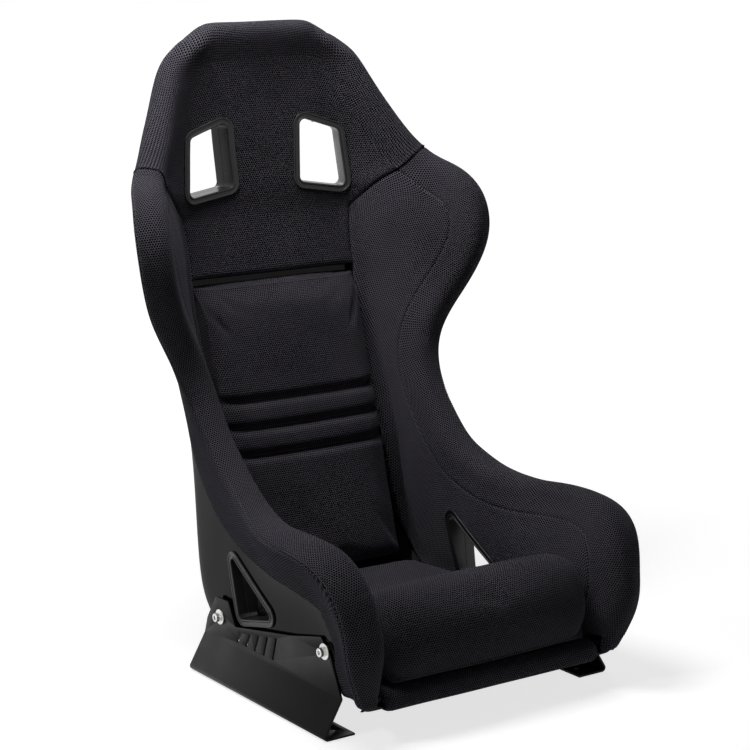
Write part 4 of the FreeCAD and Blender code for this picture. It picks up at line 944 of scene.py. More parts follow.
@dataclass
class SidePadding:
    """Bolster and wing padding of one side, with its sewn rim strip."""

    side: str = "right"
    neck: float = 19.3
    shoulder: float = 18.0
    lag_from: float = 15.0
    wall_pad: float = 20.0 * MM
    panel_pad: float = 24.0 * MM
    rows: int = 300
    counts: tuple = (40, 22, 24)
    seam: Seam = field(default_factory=Seam)
    edge_drop: float = 2.6 * MM
    edge_reach: float = 3.5 * MM
    neck_drop: float = 0.7 * MM
    neck_reach: float = 2.0 * MM
    lump_height: float = 0.9 * MM
    lump_size: float = 0.11
    pucker_height: float = 0.16 * MM
    pucker_pitch: float = 9.0 * MM
    pucker_reach: float = 12.0 * MM
    seam_table: tuple = ((0.0, 0.66), (5.0, 0.64), (8.5, 0.64), (9.3, 0.60), (10.0, 0.52),
                         (10.6, 0.482), (11.2, 0.47), (12.0, 0.48), (13.0, 0.507),
                         (14.5, 0.54), (16.0, 0.545), (17.0, 0.555), (18.0, 0.58))

    def seam_share(self, s: Array) -> Array:
        """Share at which the side padding meets the back padding."""
        table = np.array(self.seam_table)
        return Curve(table[:, 0], table[:, 1])(s)[:, 0].reshape(np.shape(s))

    def seam_at(self, t: Array) -> tuple[Array, Array]:
        """Station and share of the inner seam for rim path values."""
        late = np.maximum(t - self.lag_from, 0.0) / (self.neck - self.lag_from)
        s = t - (self.neck - self.shoulder) * late ** 2
        return s, self.seam_share(s)

    def keys(self, t: Array, fabric: bool) -> Array:
        """Key points of the rows, (n, 16, 3)."""
        s_a, v_a = self.seam_at(t)
        s_b, v_b = FORM.rim_start(t)
        share = np.linspace(0.0, 1.0, 6)[None]
        s = mix(s_a[:, None], s_b[:, None], share)
        v = mix(v_a[:, None], v_b[:, None], share)
        start = mix(self.wall_pad, self.panel_pad, smooth((s_a - 9.0) / 5.0))
        depth = mix(start[:, None], FORM.size(10, t)[:, None], smooth(share))
        if not fabric:
            depth = np.full_like(depth, FORM.wall + 0.4 * MM)
        return np.concatenate([FORM.layer(s, v, depth), hook_keys(t, fabric)], 1)

    def build(self) -> bpy.types.Object:
        """Make the padded cover.

        Returns:
            The finished piece.
        """
        t = np.linspace(0.0, self.neck, self.rows)
        landmarks = (0, 5, 11, 15)
        fabric, below, run, columns = resampled(self.keys(t, True), self.keys(t, False),
                                                landmarks, self.counts)
        faces = grid_faces(len(t), fabric.shape[1])
        flat = fabric.reshape(-1, 3)
        normal = sheet_normals(flat, faces)
        outward = np.sign((normal * (flat - below.reshape(-1, 3))).sum())
        normal = (normal * outward).reshape(fabric.shape)
        rise = np.zeros(run.shape)
        for column in columns[1:3]:
            rise += self.seam.shape(run - run[:, column, None])
        up = chords(fabric.transpose(1, 0, 2)).T
        edges = bell(run - run[:, :1], self.edge_reach) + bell(up, self.edge_reach)
        rise -= self.edge_drop * edges
        rise -= self.neck_drop * bell(up[-1:] - up, self.neck_reach)
        lump = gentle_noise(flat, self.lump_size, 5).reshape(run.shape)
        pucker = np.sin(up / self.pucker_pitch * 2.0 * math.pi)
        near = bell(run - run[:, columns[1], None], self.pucker_reach)
        rise += self.lump_height * lump + self.pucker_height * pucker * near
        if self.side == "right":
            for column in columns[1:3]:
                SEAM_LINES.append((fabric[:, column], normal[:, column]))
        fabric = fabric + normal * rise[..., None]
        flat = fabric.reshape(-1, 3)
        remember("side", flat, faces)
        hole = LapSlot().inside(flat[faces].mean(1), 4.0 * MM)
        kept = faces[~hole]
        uv = cloth_strips(fabric, run, columns, faces)[~hole]
        points, polygons = slab(flat, below.reshape(-1, 3), kept)
        if self.side == "left":
            points = points * np.array([-1.0, 1.0, 1.0])
        piece = new_piece(f"side_padding_{self.side}", points, polygons, Finish.FABRIC)
        corner_uv(piece, polygons, uv, np.unique(np.array(polygons)))
        return finished(piece,
                        (f"side_cover_{self.side}", f"side_foam_{self.side}"), 0.8)


@dataclass
class HeadPadding:
    """Padding of the upper back and the head, rolled over the head's edge."""

    neck: float = 19.3
    neck_trim: float = 0.03
    neck_middle: float = 19.5
    shoulder: float = 18.0
    foot: float = 14.7
    panel_pad: float = 24.0 * MM
    head_pad: float = 30.0 * MM
    rows: tuple = (34, 18, 62)
    half_columns: int = 50
    edge_drop: float = 2.4 * MM
    edge_reach: float = 3.0 * MM
    hem_drop: float = 1.5 * MM
    hem_reach: float = 2.2 * MM
    lump_height: float = 0.9 * MM
    lump_size: float = 0.12

    def rim_time(self, w: Array) -> Array:
        """Rim path value on the head's top edge."""
        return FORM.last + FORM.top_steps * (1.0 - np.abs(w))

    def depth_at(self, s: Array | float) -> Array:
        """Padding depth on the middle line."""
        return mix(self.panel_pad, self.head_pad, smooth((np.asarray(s) - 17.0) / 4.0))

    def params(self, u: float, w: Array) -> tuple[Array, Array, Array]:
        """Stations, shares and padding depths of one row.

        Args:
            u: 0 at the foot of the panel, 1 at the shoulders, 2 at the neck, 3 at the top.
            w: Places across, from -1 to 1.

        Returns:
            Station, share and depth at each place.
        """
        side, sign = np.abs(w), np.sign(w)
        padding = SidePadding()
        begin = FORM.rim_start(np.array([self.neck + self.neck_trim, FORM.last]))
        (neck_s, corner_s), (neck_v, corner_v) = begin
        neck_pad = FORM.size(10, np.array([self.neck]))[0]
        trim = 0.0018
        if u <= 1.0:
            s = mix(self.foot, self.shoulder, u) * np.ones_like(w)
            return s, w * (padding.seam_share(s) - trim), np.full_like(w, self.panel_pad)
        line = mix(self.neck_middle, neck_s, side * side)
        neck_depth = mix(self.depth_at(self.neck_middle), neck_pad, smooth(side))
        if u <= 2.0:
            share = u - 1.0
            v = mix(padding.seam_share(np.array([self.shoulder]))[0] - trim, neck_v, share)
            depth = mix(self.panel_pad, neck_depth, smooth(share))
            return mix(self.shoulder, line, share), w * v, depth
        share = u - 2.0
        t = mix(self.neck + self.neck_trim, FORM.last, share)
        (side_s,), (side_v,) = FORM.rim_start(np.array([t]))
        top_s, top_v = FORM.rim_start(self.rim_time(w))
        s = mix(line, top_s, share) + side_s - mix(neck_s, corner_s, share)
        v = mix(neck_v * side, top_v, share) + side * (side_v - mix(neck_v, corner_v, share))
        middle = mix(self.depth_at(self.neck_middle), self.head_pad, share)
        pad = FORM.size(10, np.array([t]))[0]
        return s, sign * v, mix(middle, pad, smooth(side))

    def build(self) -> bpy.types.Object:
        """Make the padded cover.

        Returns:
            The finished piece.
        """
        w = np.linspace(-1.0, 1.0, 2 * self.half_columns + 1)
        u = np.concatenate([np.linspace(i, i + 1, n, endpoint=False)
                            for i, n in enumerate(self.rows)] + [[3.0]])
        rows = [self.params(value, w) for value in u]
        s, v, depth = (np.stack([row[k] for row in rows]) for k in range(3))
        middle = FORM.layer(s, v, depth)
        under = FORM.layer(s, v, FORM.wall + 0.4 * MM)
        first = self.rows[0] + self.rows[1]
        side_t = mix(self.neck + self.neck_trim, FORM.last, u[first:] - 2.0)
        top_w = w[::-1][1:-1]
        width = len(w)
        index = np.arange(len(u) * width).reshape(len(u), width)
        border = np.concatenate([index[first:, -1], index[-1, ::-1][1:-1], index[first:, 0][::-1]])
        t = np.concatenate([side_t, self.rim_time(top_w), side_t[::-1]])
        left = np.concatenate([np.zeros(len(side_t)), top_w < 0.0, np.ones(len(side_t))]) > 0.5
        flip = np.where(left[:, None, None], np.array([-1.0, 1.0, 1.0]), 1.0)
        outer_keys = np.concatenate([middle.reshape(-1, 3)[border][:, None],
                                     hook_keys(t, True) * flip], 1)
        inner_keys = np.concatenate([under.reshape(-1, 3)[border][:, None],
                                     hook_keys(t, False) * flip], 1)
        roll, roll_under, run, columns = resampled(outer_keys, inner_keys, (0, 10), (30,))
        count = len(u) * width
        strip = np.concatenate(
            [border[:, None], count + np.arange(len(t) * 30).reshape(len(t), 30)], 1)
        quads = np.stack([strip[:-1, :-1], strip[:-1, 1:], strip[1:, 1:], strip[1:, :-1]], -1)
        faces = np.concatenate([grid_faces(len(u), width), quads.reshape(-1, 4)[:, ::-1]])
        points = np.concatenate([middle.reshape(-1, 3), roll[:, 1:].reshape(-1, 3)])
        below = np.concatenate([under.reshape(-1, 3), roll_under[:, 1:].reshape(-1, 3)])
        near = bell(distance_to(points, points[border]), 16.0 * MM)
        points = relaxed(points, faces, 0.6 * near, 10)
        normal = sheet_normals(points, faces)
        normal *= np.sign((normal * (points - below)).sum(1, keepdims=True).sum())
        edge = np.concatenate([points[index[0]], points[index[:first + 1, 0]],
                               points[index[:first + 1, -1]]])
        hem = points[strip[[0, -1]].ravel()]
        rise = -self.edge_drop * bell(distance_to(points, edge), self.edge_reach)
        rise -= self.hem_drop * bell(distance_to(points, hem), self.hem_reach)
        rise += self.lump_height * gentle_noise(points, self.lump_size, 9)
        points = points + normal * rise[:, None]
        remember("head", points, faces)
        hole = HarnessSlot().inside(points[faces].mean(1), 4.0 * MM)
        solid, polygons = slab(points, below, faces[~hole])
        piece = new_piece("head_and_back_padding", solid, polygons, Finish.FABRIC)
        across = chords(middle)
        up = chords(middle.transpose(1, 0, 2)).T
        uv = np.stack([across - across[:, [self.half_columns]],
                       np.broadcast_to(up[:, [self.half_columns]], across.shape)], -1)
        uv = uv.reshape(-1, 2)
        ends = unit(np.stack([points[border][:, 0], points[border][:, 2] - 0.78], 1))
        strip_uv = uv[border][:, None] + ends[:, None] * run[:, 1:, None]
        uv = np.concatenate([uv, strip_uv.reshape(-1, 2)])
        used = np.unique(np.array(polygons))
        put_uv(piece, np.concatenate([uv, uv])[used])
        return finished(piece, ("head_and_back_cover", "head_and_back_foam"), 0.8)


@dataclass
class LipPadding:
    """Padded front edge of the shell, under the thigh roll."""

    half: float = 179.0 * MM
    pad: float = 25.0 * MM
    reach: float = 12.0 * MM
    under: float = 6.0 * MM
    tuck: float = 60.0 * MM
    root: float = 40.0 * MM
    columns: int = 90
    end_drop: float = 2.5 * MM
    end_reach: float = 4.0 * MM
    lump_height: float = 0.6 * MM
    lump_size: float = 0.09

    def build(self) -> bpy.types.Object:
        """Make the padded cover.

        Returns:
            The finished piece.
        """
        x = np.linspace(-self.half, self.half, self.columns)
        front = FORM.point(np.zeros(401), np.linspace(-1.0, 1.0, 401))
        v = np.interp(x, front[:, 0], np.linspace(-1.0, 1.0, 401))
        length = np.linalg.norm(np.diff(FORM.point(np.array([0.0, 1.0]), np.zeros(2)), axis=0))
        pad, reach, under, tuck = self.pad, self.reach, self.under, self.tuck
        outer = [(-self.root, pad), (-0.45 * self.root, pad + MM), (0.25 * reach, pad - 2.0 * MM),
                 (0.85 * reach, 0.75 * pad), (reach, 0.45 * pad), (0.95 * reach, 0.1 * pad),
                 (0.55 * reach, -0.6 * under), (-5.0 * MM, -under), (-0.45 * tuck, -0.8 * under),
                 (-0.8 * tuck, -4.4 * MM), (-tuck, -2.4 * MM)]
        lift, gap = FORM.wall + 0.4 * MM, -0.4 * MM
        inner = [(-self.root, lift), (-0.45 * self.root, lift), (-6.0 * MM, lift),
                 (0.5 * MM, lift), (MM, 0.75 * FORM.wall), (MM, 0.25 * FORM.wall),
                 (0.5 * MM, gap), (-5.0 * MM, gap), (-0.45 * tuck, gap), (-0.8 * tuck, gap),
                 (-tuck, gap)]

        def keys(pairs: list[tuple[float, float]]) -> Array:
            """Key points of every row of the lip."""
            rows = []
            edge = FORM.point(np.zeros_like(v), v)
            for out, up in pairs:
                if out >= 0.0:
                    rows.append(edge + np.array([0.0, -out, up]))
                else:
                    rows.append(FORM.layer(np.full_like(v, -out / length), v, up))
            return np.stack(rows, 1)

        fabric, below, run, _ = resampled(keys(outer), keys(inner), (0, 10), (44,))
        faces = grid_faces(len(x), fabric.shape[1])
        flat, under_flat = fabric.reshape(-1, 3), below.reshape(-1, 3)
        normal = sheet_normals(flat, faces)
        normal *= np.sign((normal * (flat - under_flat)).sum())
        ends = self.half - np.abs(flat[:, 0])
        lump = gentle_noise(flat, self.lump_size, 3)
        rise = -self.end_drop * bell(ends, self.end_reach) + self.lump_height * lump
        points, polygons = slab(flat + normal * rise[:, None], under_flat, faces)
        piece = new_piece("front_lip_padding", points, polygons, Finish.FABRIC)
        uv = np.stack([np.broadcast_to(x[:, None], run.shape), run], -1).reshape(-1, 2)
        put_uv(piece, np.concatenate([uv, uv]))
        return finished(piece, ("front_lip_cover", "front_lip_foam"), 0.8)


# ------------------------------------------------------------------ belt slots
def rounded_outline(corners: Sequence[tuple[float, float]], radius: float, outset: float,
                    arc: int = 10, side: int = 10) -> Array:
    """Points round a polygon with rounded corners, moved outwards.

    Args:
        corners: The polygon's corners.
        radius: Radius of its corners before it is moved.
        outset: How far it is moved outwards.
        arc: Points on each corner.
        side: Points on each side.

    Returns:
        Closed outline, (n, 2), with the same layout for every outset.
    """
    points = np.array(corners, float)
    following = np.roll(points, -1, axis=0)
    area = 0.5 * np.sum(points[:, 0] * following[:, 1] - following[:, 0] * points[:, 1])
    if area < 0.0:
        points = points[::-1]
    count = len(points)
    before = unit(np.roll(points, 1, 0) - points)
    after = unit(np.roll(points, -1, 0) - points)
    half = 0.5 * np.arccos((before * after).sum(1))
    centre = points + unit(before + after) * (radius / np.sin(half))[:, None]
    result = []
    for i in range(count):
        a = -np.array([before[i][1], -before[i][0]])
        b = np.array([after[i][1], -after[i][0]])
        start = math.atan2(a[1], a[0])
        turn = (math.atan2(b[1], b[0]) - start) % (2.0 * math.pi)
        angles = start + turn * np.linspace(0.0, 1.0, arc)
        ring = centre[i] + (radius + outset) * np.stack([np.cos(angles), np.sin(angles)], 1)
        follow = (i + 1) % count
        c = np.array([after[i][1], -after[i][0]])
        first = centre[i] + (radius + outset) * c
        last = centre[follow] + (radius + outset) * c
        shares = np.arange(1, side + 1)[:, None] / (side + 1)
        result += [ring, mix(first, last, shares)]
    return np.concatenate(result)


@dataclass
class BeltSlot:
    """An opening through padding and shell, cut along one straight direction."""

    corners: tuple = ()
    radius: float = 0.0
    centre: tuple = (0.0, 0.0, 0.0)
    across: tuple = (1.0, 0.0, 0.0)
    upward: tuple = (0.0, 0.0, 1.0)
    inwards: tuple = (0.0, -1.0, 0.0)
    reach: float = 0.09

    def flat(self, points: Array) -> Array:
        """Places of points in the plane of the outline, with both sides folded on one."""
        folded = points * np.where(points[..., :1] < 0.0, np.array([-1.0, 1.0, 1.0]), 1.0)
        rest = folded - np.array(self.centre)
        return np.stack([rest @ np.array(self.across), rest @ np.array(self.upward),
                         rest @ np.array(self.inwards)], -1)

    def inside(self, points: Array, outset: float) -> Array:
        """Whether points lie in the opening, widened by an outset, on either side."""
        ring = rounded_outline(self.corners, self.radius, outset)
        flat = self.flat(points)
        x, y = flat[:, 0], flat[:, 1]
        found = np.zeros(len(points), bool)
        for a, b in zip(ring, np.roll(ring, -1, 0)):
            crosses = (a[1] > y) != (b[1] > y)
            at = a[0] + (y - a[1]) / (b[1] - a[1] + 1e-15) * (b[0] - a[0])
            found ^= crosses & (x < at)
        return found & (np.abs(flat[:, 2]) < self.reach)

    def place(self, outline: Array) -> Array:
        """Points in space of an outline, in the plane through the centre."""
        return (np.array(self.centre) + outline[:, :1] * np.array(self.across)
                + outline[:, 1:] * np.array(self.upward))


YAW = math.radians(16.5)


@dataclass
class HarnessSlot(BeltSlot):
    """Shoulder-strap opening beside the head."""

    corners: tuple = ((-34.5 * MM, 57.8 * MM), (-38.0 * MM, -41.5 * MM), (40.5 * MM, -54.5 * MM),
                      (30.5 * MM, 35.8 * MM))
    radius: float = 9.0 * MM
    centre: tuple = (97.8 * MM, 326.9 * MM, (686.0 + 0.207 * 248.0) * MM)
    across: tuple = (math.cos(YAW), -math.sin(YAW), 0.0)
    inwards: tuple = (-math.sin(YAW), -math.cos(YAW), 0.0)


@dataclass
class LapSlot(BeltSlot):
    """Lap-strap opening low on the side."""

    corners: tuple = ((106.0 * MM, 194.0 * MM), (-11.0 * MM, 120.0 * MM), (89.0 * MM, 97.0 * MM))
    radius: float = 7.0 * MM
    centre: tuple = (213.0 * MM, 0.0, 0.0)
    across: tuple = (0.0, 1.0, 0.0)
    inwards: tuple = (-1.0, 0.0, 0.0)


@dataclass
class Shell:
    """Moulded shell: a thin wall with belt openings and bosses at the mounts."""

    rows: int = 330
    columns: int = 240
    boss_radius: float = 17.0 * MM
    boss_face: float = 213.0 * MM
    insert_radius: float = 9.0 * MM
    bolts: tuple = ((-150.0 * MM, 112.6 * MM), (139.0 * MM, 89.0 * MM))

    def wall_at(self, y: float, z: float) -> float:
        """Half width of the shell at a place on its side."""
        s, v = np.meshgrid(np.linspace(0.5, 10.5, 201), np.linspace(0.5, 1.0, 101), indexing="ij")
        points = FORM.point(s.ravel(), v.ravel())
        near = np.argmin((points[:, 1] - y) ** 2 + (points[:, 2] - z) ** 2)
        return float(points[near, 0])

    def bosses(self) -> tuple[Array, Array]:
        """Rings that fill the space between the wall and the mounts.

        Returns:
            Vertices and quads.
        """
        turn = np.linspace(0.0, 2.0 * math.pi, 49)[:-1]
        circle = np.stack([np.cos(turn), np.sin(turn)], 1)
        points, faces = [], []
        for y, z in self.bolts:
            inner = self.wall_at(y, z) - 1.5 * MM
            profile = [(self.insert_radius, inner), (self.insert_radius, self.boss_face),
                       (self.boss_radius - 0.8 * MM, self.boss_face),
                       (self.boss_radius, self.boss_face - 0.8 * MM), (self.boss_radius, inner)]
            for side in (-1.0, 1.0):
                rings = [np.column_stack([np.full(48, side * x), y + circle[:, 0] * r,
                                          z + circle[:, 1] * r]) for r, x in profile]
                faces.append(grid_faces(len(rings), 48, True) + 48 * len(rings) * len(points))
                points.append(np.concatenate(rings))
        return np.concatenate(points), np.concatenate(faces)

    def build(self) -> bpy.types.Object:
        """Make the shell.

        Returns:
            The finished piece.
        """
        s = FORM.last * np.linspace(0.0, 1.0, self.rows)
        v = np.linspace(-1.0, 1.0, self.columns)
        s, v = (a.ravel() for a in np.meshgrid(s, v, indexing="ij"))
        outer, inner = FORM.point(s, v), FORM.layer(s, v, FORM.wall)
        faces = grid_faces(self.rows, self.columns)
        remember("shell", outer, faces)
        middle = outer[faces].mean(1)
        hole = HarnessSlot().inside(middle, 4.0 * MM) | LapSlot().inside(middle, 4.0 * MM)
        points, polygons = slab(outer, inner, faces[~hole])
        ring_points, ring_faces = self.bosses()
        polygons += (ring_faces + len(points)).tolist()
        piece = new_piece("shell_skin", np.concatenate([points, ring_points]), polygons,
                          Finish.SHELL)
        return finished(piece, ("shell",))


@dataclass
class Bezel:
    """Trim round a belt opening, laid on the surface it covers; one half on each face."""

    name: str
    stands_for: tuple
    slot: BeltSlot
    surface: str
    front: bool
    side: str
    meet: float = 14.0 * MM
    reach: float = 11.0 * MM
    section: tuple = ((0.0, None), (0.0, 1.5), (0.3, 2.9), (1.2, 3.5), (2.4, 3.3), (3.3, 2.2),
                      (4.2, 1.9), (6.8, 1.9), (7.8, 2.3), (8.7, 3.1), (10.0, 3.1), (10.8, 2.4),
                      (11.0, 0.2), (2.2, 0.2), (2.2, None))

    def height(self, surface: str, outset: float, front: bool) -> Array:
        """Place of a surface along the slot's direction, round the outline at an outset."""
        slot = self.slot
        ring = slot.place(rounded_outline(slot.corners, slot.radius, outset))
        inwards = np.array(slot.inwards)
        sign = 1.0 if front else -1.0
        result = np.full(len(ring), np.nan)
        for i, place in enumerate(ring):
            start = place + inwards * sign * slot.reach
            hit = SURFACES[surface].ray_cast(Vector(start), Vector(-sign * inwards))[0]
            if hit is not None:
                result[i] = (np.array(hit) - place) @ inwards
        good = ~np.isnan(result)
        result = np.interp(np.arange(len(ring)), np.arange(len(ring))[good], result[good])
        for _ in range(6):
            result = 0.5 * result + 0.25 * (np.roll(result, 1) + np.roll(result, -1))
        return result

    def build(self) -> bpy.types.Object:
        """Make the half.

        Returns:
            The finished piece.
        """
        slot = self.slot
        inwards = np.array(slot.inwards)
        sign = 1.0 if self.front else -1.0
        low, high = (self.height(self.surface, o, self.front) for o in (0.0, self.reach))
        shell = self.height("shell", 0.0, False)
        joint = shell + self.meet - (0.0 if self.front else 0.3 * MM)
        rings = []
        for outset, lift in self.section:
            ring = slot.place(rounded_outline(slot.corners, slot.radius, outset * MM))
            at = mix(low, high, outset * MM / self.reach) + sign * (lift or 0.0) * MM
            rings.append(ring + (joint if lift is None else at)[:, None] * inwards)
        rings = np.stack(rings)
        count = rings.shape[1]
        points = rings.reshape(-1, 3)
        faces = grid_faces(len(rings), count, True)
        closing = grid_faces(2, count, True)
        closing = np.where(closing < count, closing, closing - count) + \
            np.where(closing < count, (len(rings) - 1) * count, 0)
        if self.side == "left":
            points = points * np.array([-1.0, 1.0, 1.0])
        piece = new_piece(self.name, points, np.concatenate([faces, closing]), Finish.BEZEL)
        piece = crisp(piece, 0.35 * MM)
        return finished(piece, self.stands_for)


def settled(piece: bpy.types.Object) -> bpy.types.Object:
    """Turn a piece's modifiers into plain mesh."""
    graph = bpy.context.evaluated_depsgraph_get()
    mesh = bpy.data.meshes.new_from_object(piece.evaluated_get(graph), depsgraph=graph)
    piece.modifiers.clear()
    piece.data = mesh
    return piece


def crisp(piece: bpy.types.Object, width: float, segments: int = 2,
          angle: float = 35.0) -> bpy.types.Object:
    """Round a piece's sharp edges a little.

    Args:
        piece: The piece.
        width: Width of the rounding.
        segments: Steps in it.
        angle: Edges sharper than this, in degrees, are rounded.

    Returns:
        The same piece.
    """
    bevel = piece.modifiers.new("edges", "BEVEL")
    bevel.width = width
    bevel.segments = segments
    bevel.limit_method = "ANGLE"
    bevel.angle_limit = math.radians(angle)
    bevel.harden_normals = True
    return settled(piece)


# ------------------------------------------------------------------ loose cushions
def share_at(s: Array, x: float) -> Array:
    """Share across at which the shell's half width is x, for each station."""
    v = np.linspace(0.0, 1.0, 201)
    width = FORM.point(np.repeat(s, 201), np.tile(v, len(s))).reshape(len(s), 201, 3)[..., 0]
    return np.array([np.interp(x, row, v) for row in width])


def station_at(axis: int, values: Array, low: float, high: float) -> Array:
    """Stations on the middle line where a coordinate takes rising values."""
    s = np.linspace(low, high, 600)
    return np.interp(values, FORM.point(s, np.zeros_like(s))[:, axis], s)


def boxed(top: Array, under: Array, steps: int) -> tuple[Array, Array, Array]:
    """Close the space between two grids with quad walls.

    Args:
        top: Grid of points, (rows, columns, 3).
        under: Grid of the same layout.
        steps: Quads from one to the other.

    Returns:
        Vertices, quads, and a flat map in metres for each quad's corners.
    """
    rows, columns = top.shape[:2]
    count = rows * columns
    index = np.arange(count).reshape(rows, columns)
    ring = np.concatenate([index[0, :-1], index[:-1, -1], index[-1, :0:-1], index[:0:-1, 0]])
    shares = (np.arange(1, steps) / steps)[:, None, None]
    walls = mix(top.reshape(-1, 3)[ring], under.reshape(-1, 3)[ring], shares)
    bulge = unit(top.reshape(-1, 3)[ring] - top.reshape(-1, 3).mean(0))
    walls = walls + 3.0 * MM * bulge * np.sin(math.pi * shares)
    bottom = count + walls.shape[0] * len(ring)
    loops = np.concatenate([ring[None], count + np.arange(bottom - count).reshape(steps - 1, -1),
                            ring[None] + bottom])
    side = np.stack([loops[:-1], loops[1:], np.roll(loops[1:], -1, 1),
                     np.roll(loops[:-1], -1, 1)], -1)
    sheet = grid_faces(rows, columns)
    points = np.concatenate([top.reshape(-1, 3), walls.reshape(-1, 3), under.reshape(-1, 3)])
    faces = np.concatenate([sheet, sheet[:, ::-1] + bottom, side.reshape(-1, 4)])
    across, along = chords(top), chords(top.transpose(1, 0, 2)).T
    flat = np.stack([across - across[:, [columns // 2]],
                     np.broadcast_to(along[:, [columns // 2]], across.shape)], -1).reshape(-1, 2)
    uv = np.zeros((len(points), 2))
    uv[:count], uv[bottom:] = flat, flat
    round_trip = np.concatenate([[0.0], np.cumsum(np.linalg.norm(
        np.diff(top.reshape(-1, 3)[ring], axis=0), axis=1))])
    tall = np.linalg.norm(top.reshape(-1, 3)[ring] - under.reshape(-1, 3)[ring], axis=1)
    wall_uv = np.stack([np.broadcast_to(round_trip, loops.shape),
                        np.linspace(0.0, 1.0, steps + 1)[:, None] * tall], -1)
    corners = uv[faces]
    turned = np.roll(wall_uv, -1, 1)
    turned[:, -1, 0] = round_trip[-1] + 5.0 * MM
    corners[2 * len(sheet):] = np.stack(
        [wall_uv[:-1], wall_uv[1:], turned[1:], turned[:-1]], 2).reshape(-1, 4, 2)
    return points, faces, corners


@dataclass
class Cushion:
    """A sewn loose cushion, blown up by a cloth simulation from a slightly smaller form."""

    name: str = ""
    stands_for: tuple = ()
    fill: float = 0.85
    shrink: float = 4.0 * MM
    swell: float = 6.0 * MM
    steps: int = 8

    def grids(self) -> tuple[Array, Array]:
        """Upper and lower grid of the cushion, both (rows, columns, 3)."""
        raise NotImplementedError

    def channels(self, points: Array) -> Array:
        """How deep the sewn channels lie at each point."""
        return np.zeros(len(points))

    def blow_up(self, piece: bpy.types.Object, held: Array) -> None:
        """Swell the cover with cloth pressure.

        Args:
            piece: The piece.
            held: Vertices that stay where they rest on the shell.
        """
        scene = bpy.context.scene
        group = piece.vertex_groups.new(name="held")
        group.add([int(i) for i in held], 1.0, "REPLACE")
        cloth = piece.modifiers.new("air", "CLOTH")
        cloth.settings.quality = 4
        cloth.settings.mass = 0.3
        cloth.settings.use_pressure = True
        cloth.settings.uniform_pressure_force = 4.0
        cloth.settings.vertex_group_mass = group.name
        cloth.settings.effector_weights.gravity = 0.0
        cloth.point_cache.frame_start = 1
        cloth.point_cache.frame_end = 20
        now = scene.frame_current
        for number in range(1, 21):
            scene.frame_set(number)
        graph = bpy.context.evaluated_depsgraph_get()
        blown = piece.evaluated_get(graph).to_mesh()
        count = len(piece.data.vertices)
        swollen, rest = np.empty(count * 3), np.empty(count * 3)
        blown.vertices.foreach_get("co", swollen)
        piece.data.vertices.foreach_get("co", rest)
        travel = (swollen - rest).reshape(-1, 3)
        length = np.linalg.norm(travel, axis=1, keepdims=True)
        travel *= self.swell * np.tanh(length / self.swell) / np.maximum(length, 1e-9)
        piece.modifiers.clear()
        piece.vertex_groups.clear()
        scene.frame_set(now)
        piece.data.vertices.foreach_set("co", rest + travel.ravel())
        furthest = np.linalg.norm(travel, axis=1).max() / MM
        LOG.info("%s swells by up to %.1f mm", piece.name, furthest)

    def build(self) -> bpy.types.Object:
        """Make the cushion.

        Returns:
            The finished piece.
        """
        top, under = self.grids()
        points, faces, corners = boxed(top, under, self.steps)
        piece = new_piece(self.name, points, faces, Finish.FABRIC)
        corner_uv(piece, faces, corners, np.arange(len(points)))
        self.blow_up(piece, np.arange(len(points) - top.shape[0] * top.shape[1], len(points)))
        piece.modifiers.new("fine", "SUBSURF").levels = 1
        piece = settled(piece)
        self.sew(piece, top)
        return finished(piece, self.stands_for, self.fill)

    def sew(self, piece: bpy.types.Object, top: Array) -> None:
        """Press the sewn channels and a gentle unevenness into the cover."""
        mesh = piece.data
        place = np.empty(len(mesh.vertices) * 3)
        normal = np.empty(len(mesh.vertices) * 3)
        mesh.vertices.foreach_get("co", place)
        mesh.vertex_normals.foreach_get("vector", normal)
        place, normal = place.reshape(-1, 3), normal.reshape(-1, 3)
        rise = 0.7 * MM * gentle_noise(place, 0.10, 21) - self.channels(place)
        place = place + normal * rise[:, None]
        mesh.vertices.foreach_set("co", place.ravel())
        mesh.update()


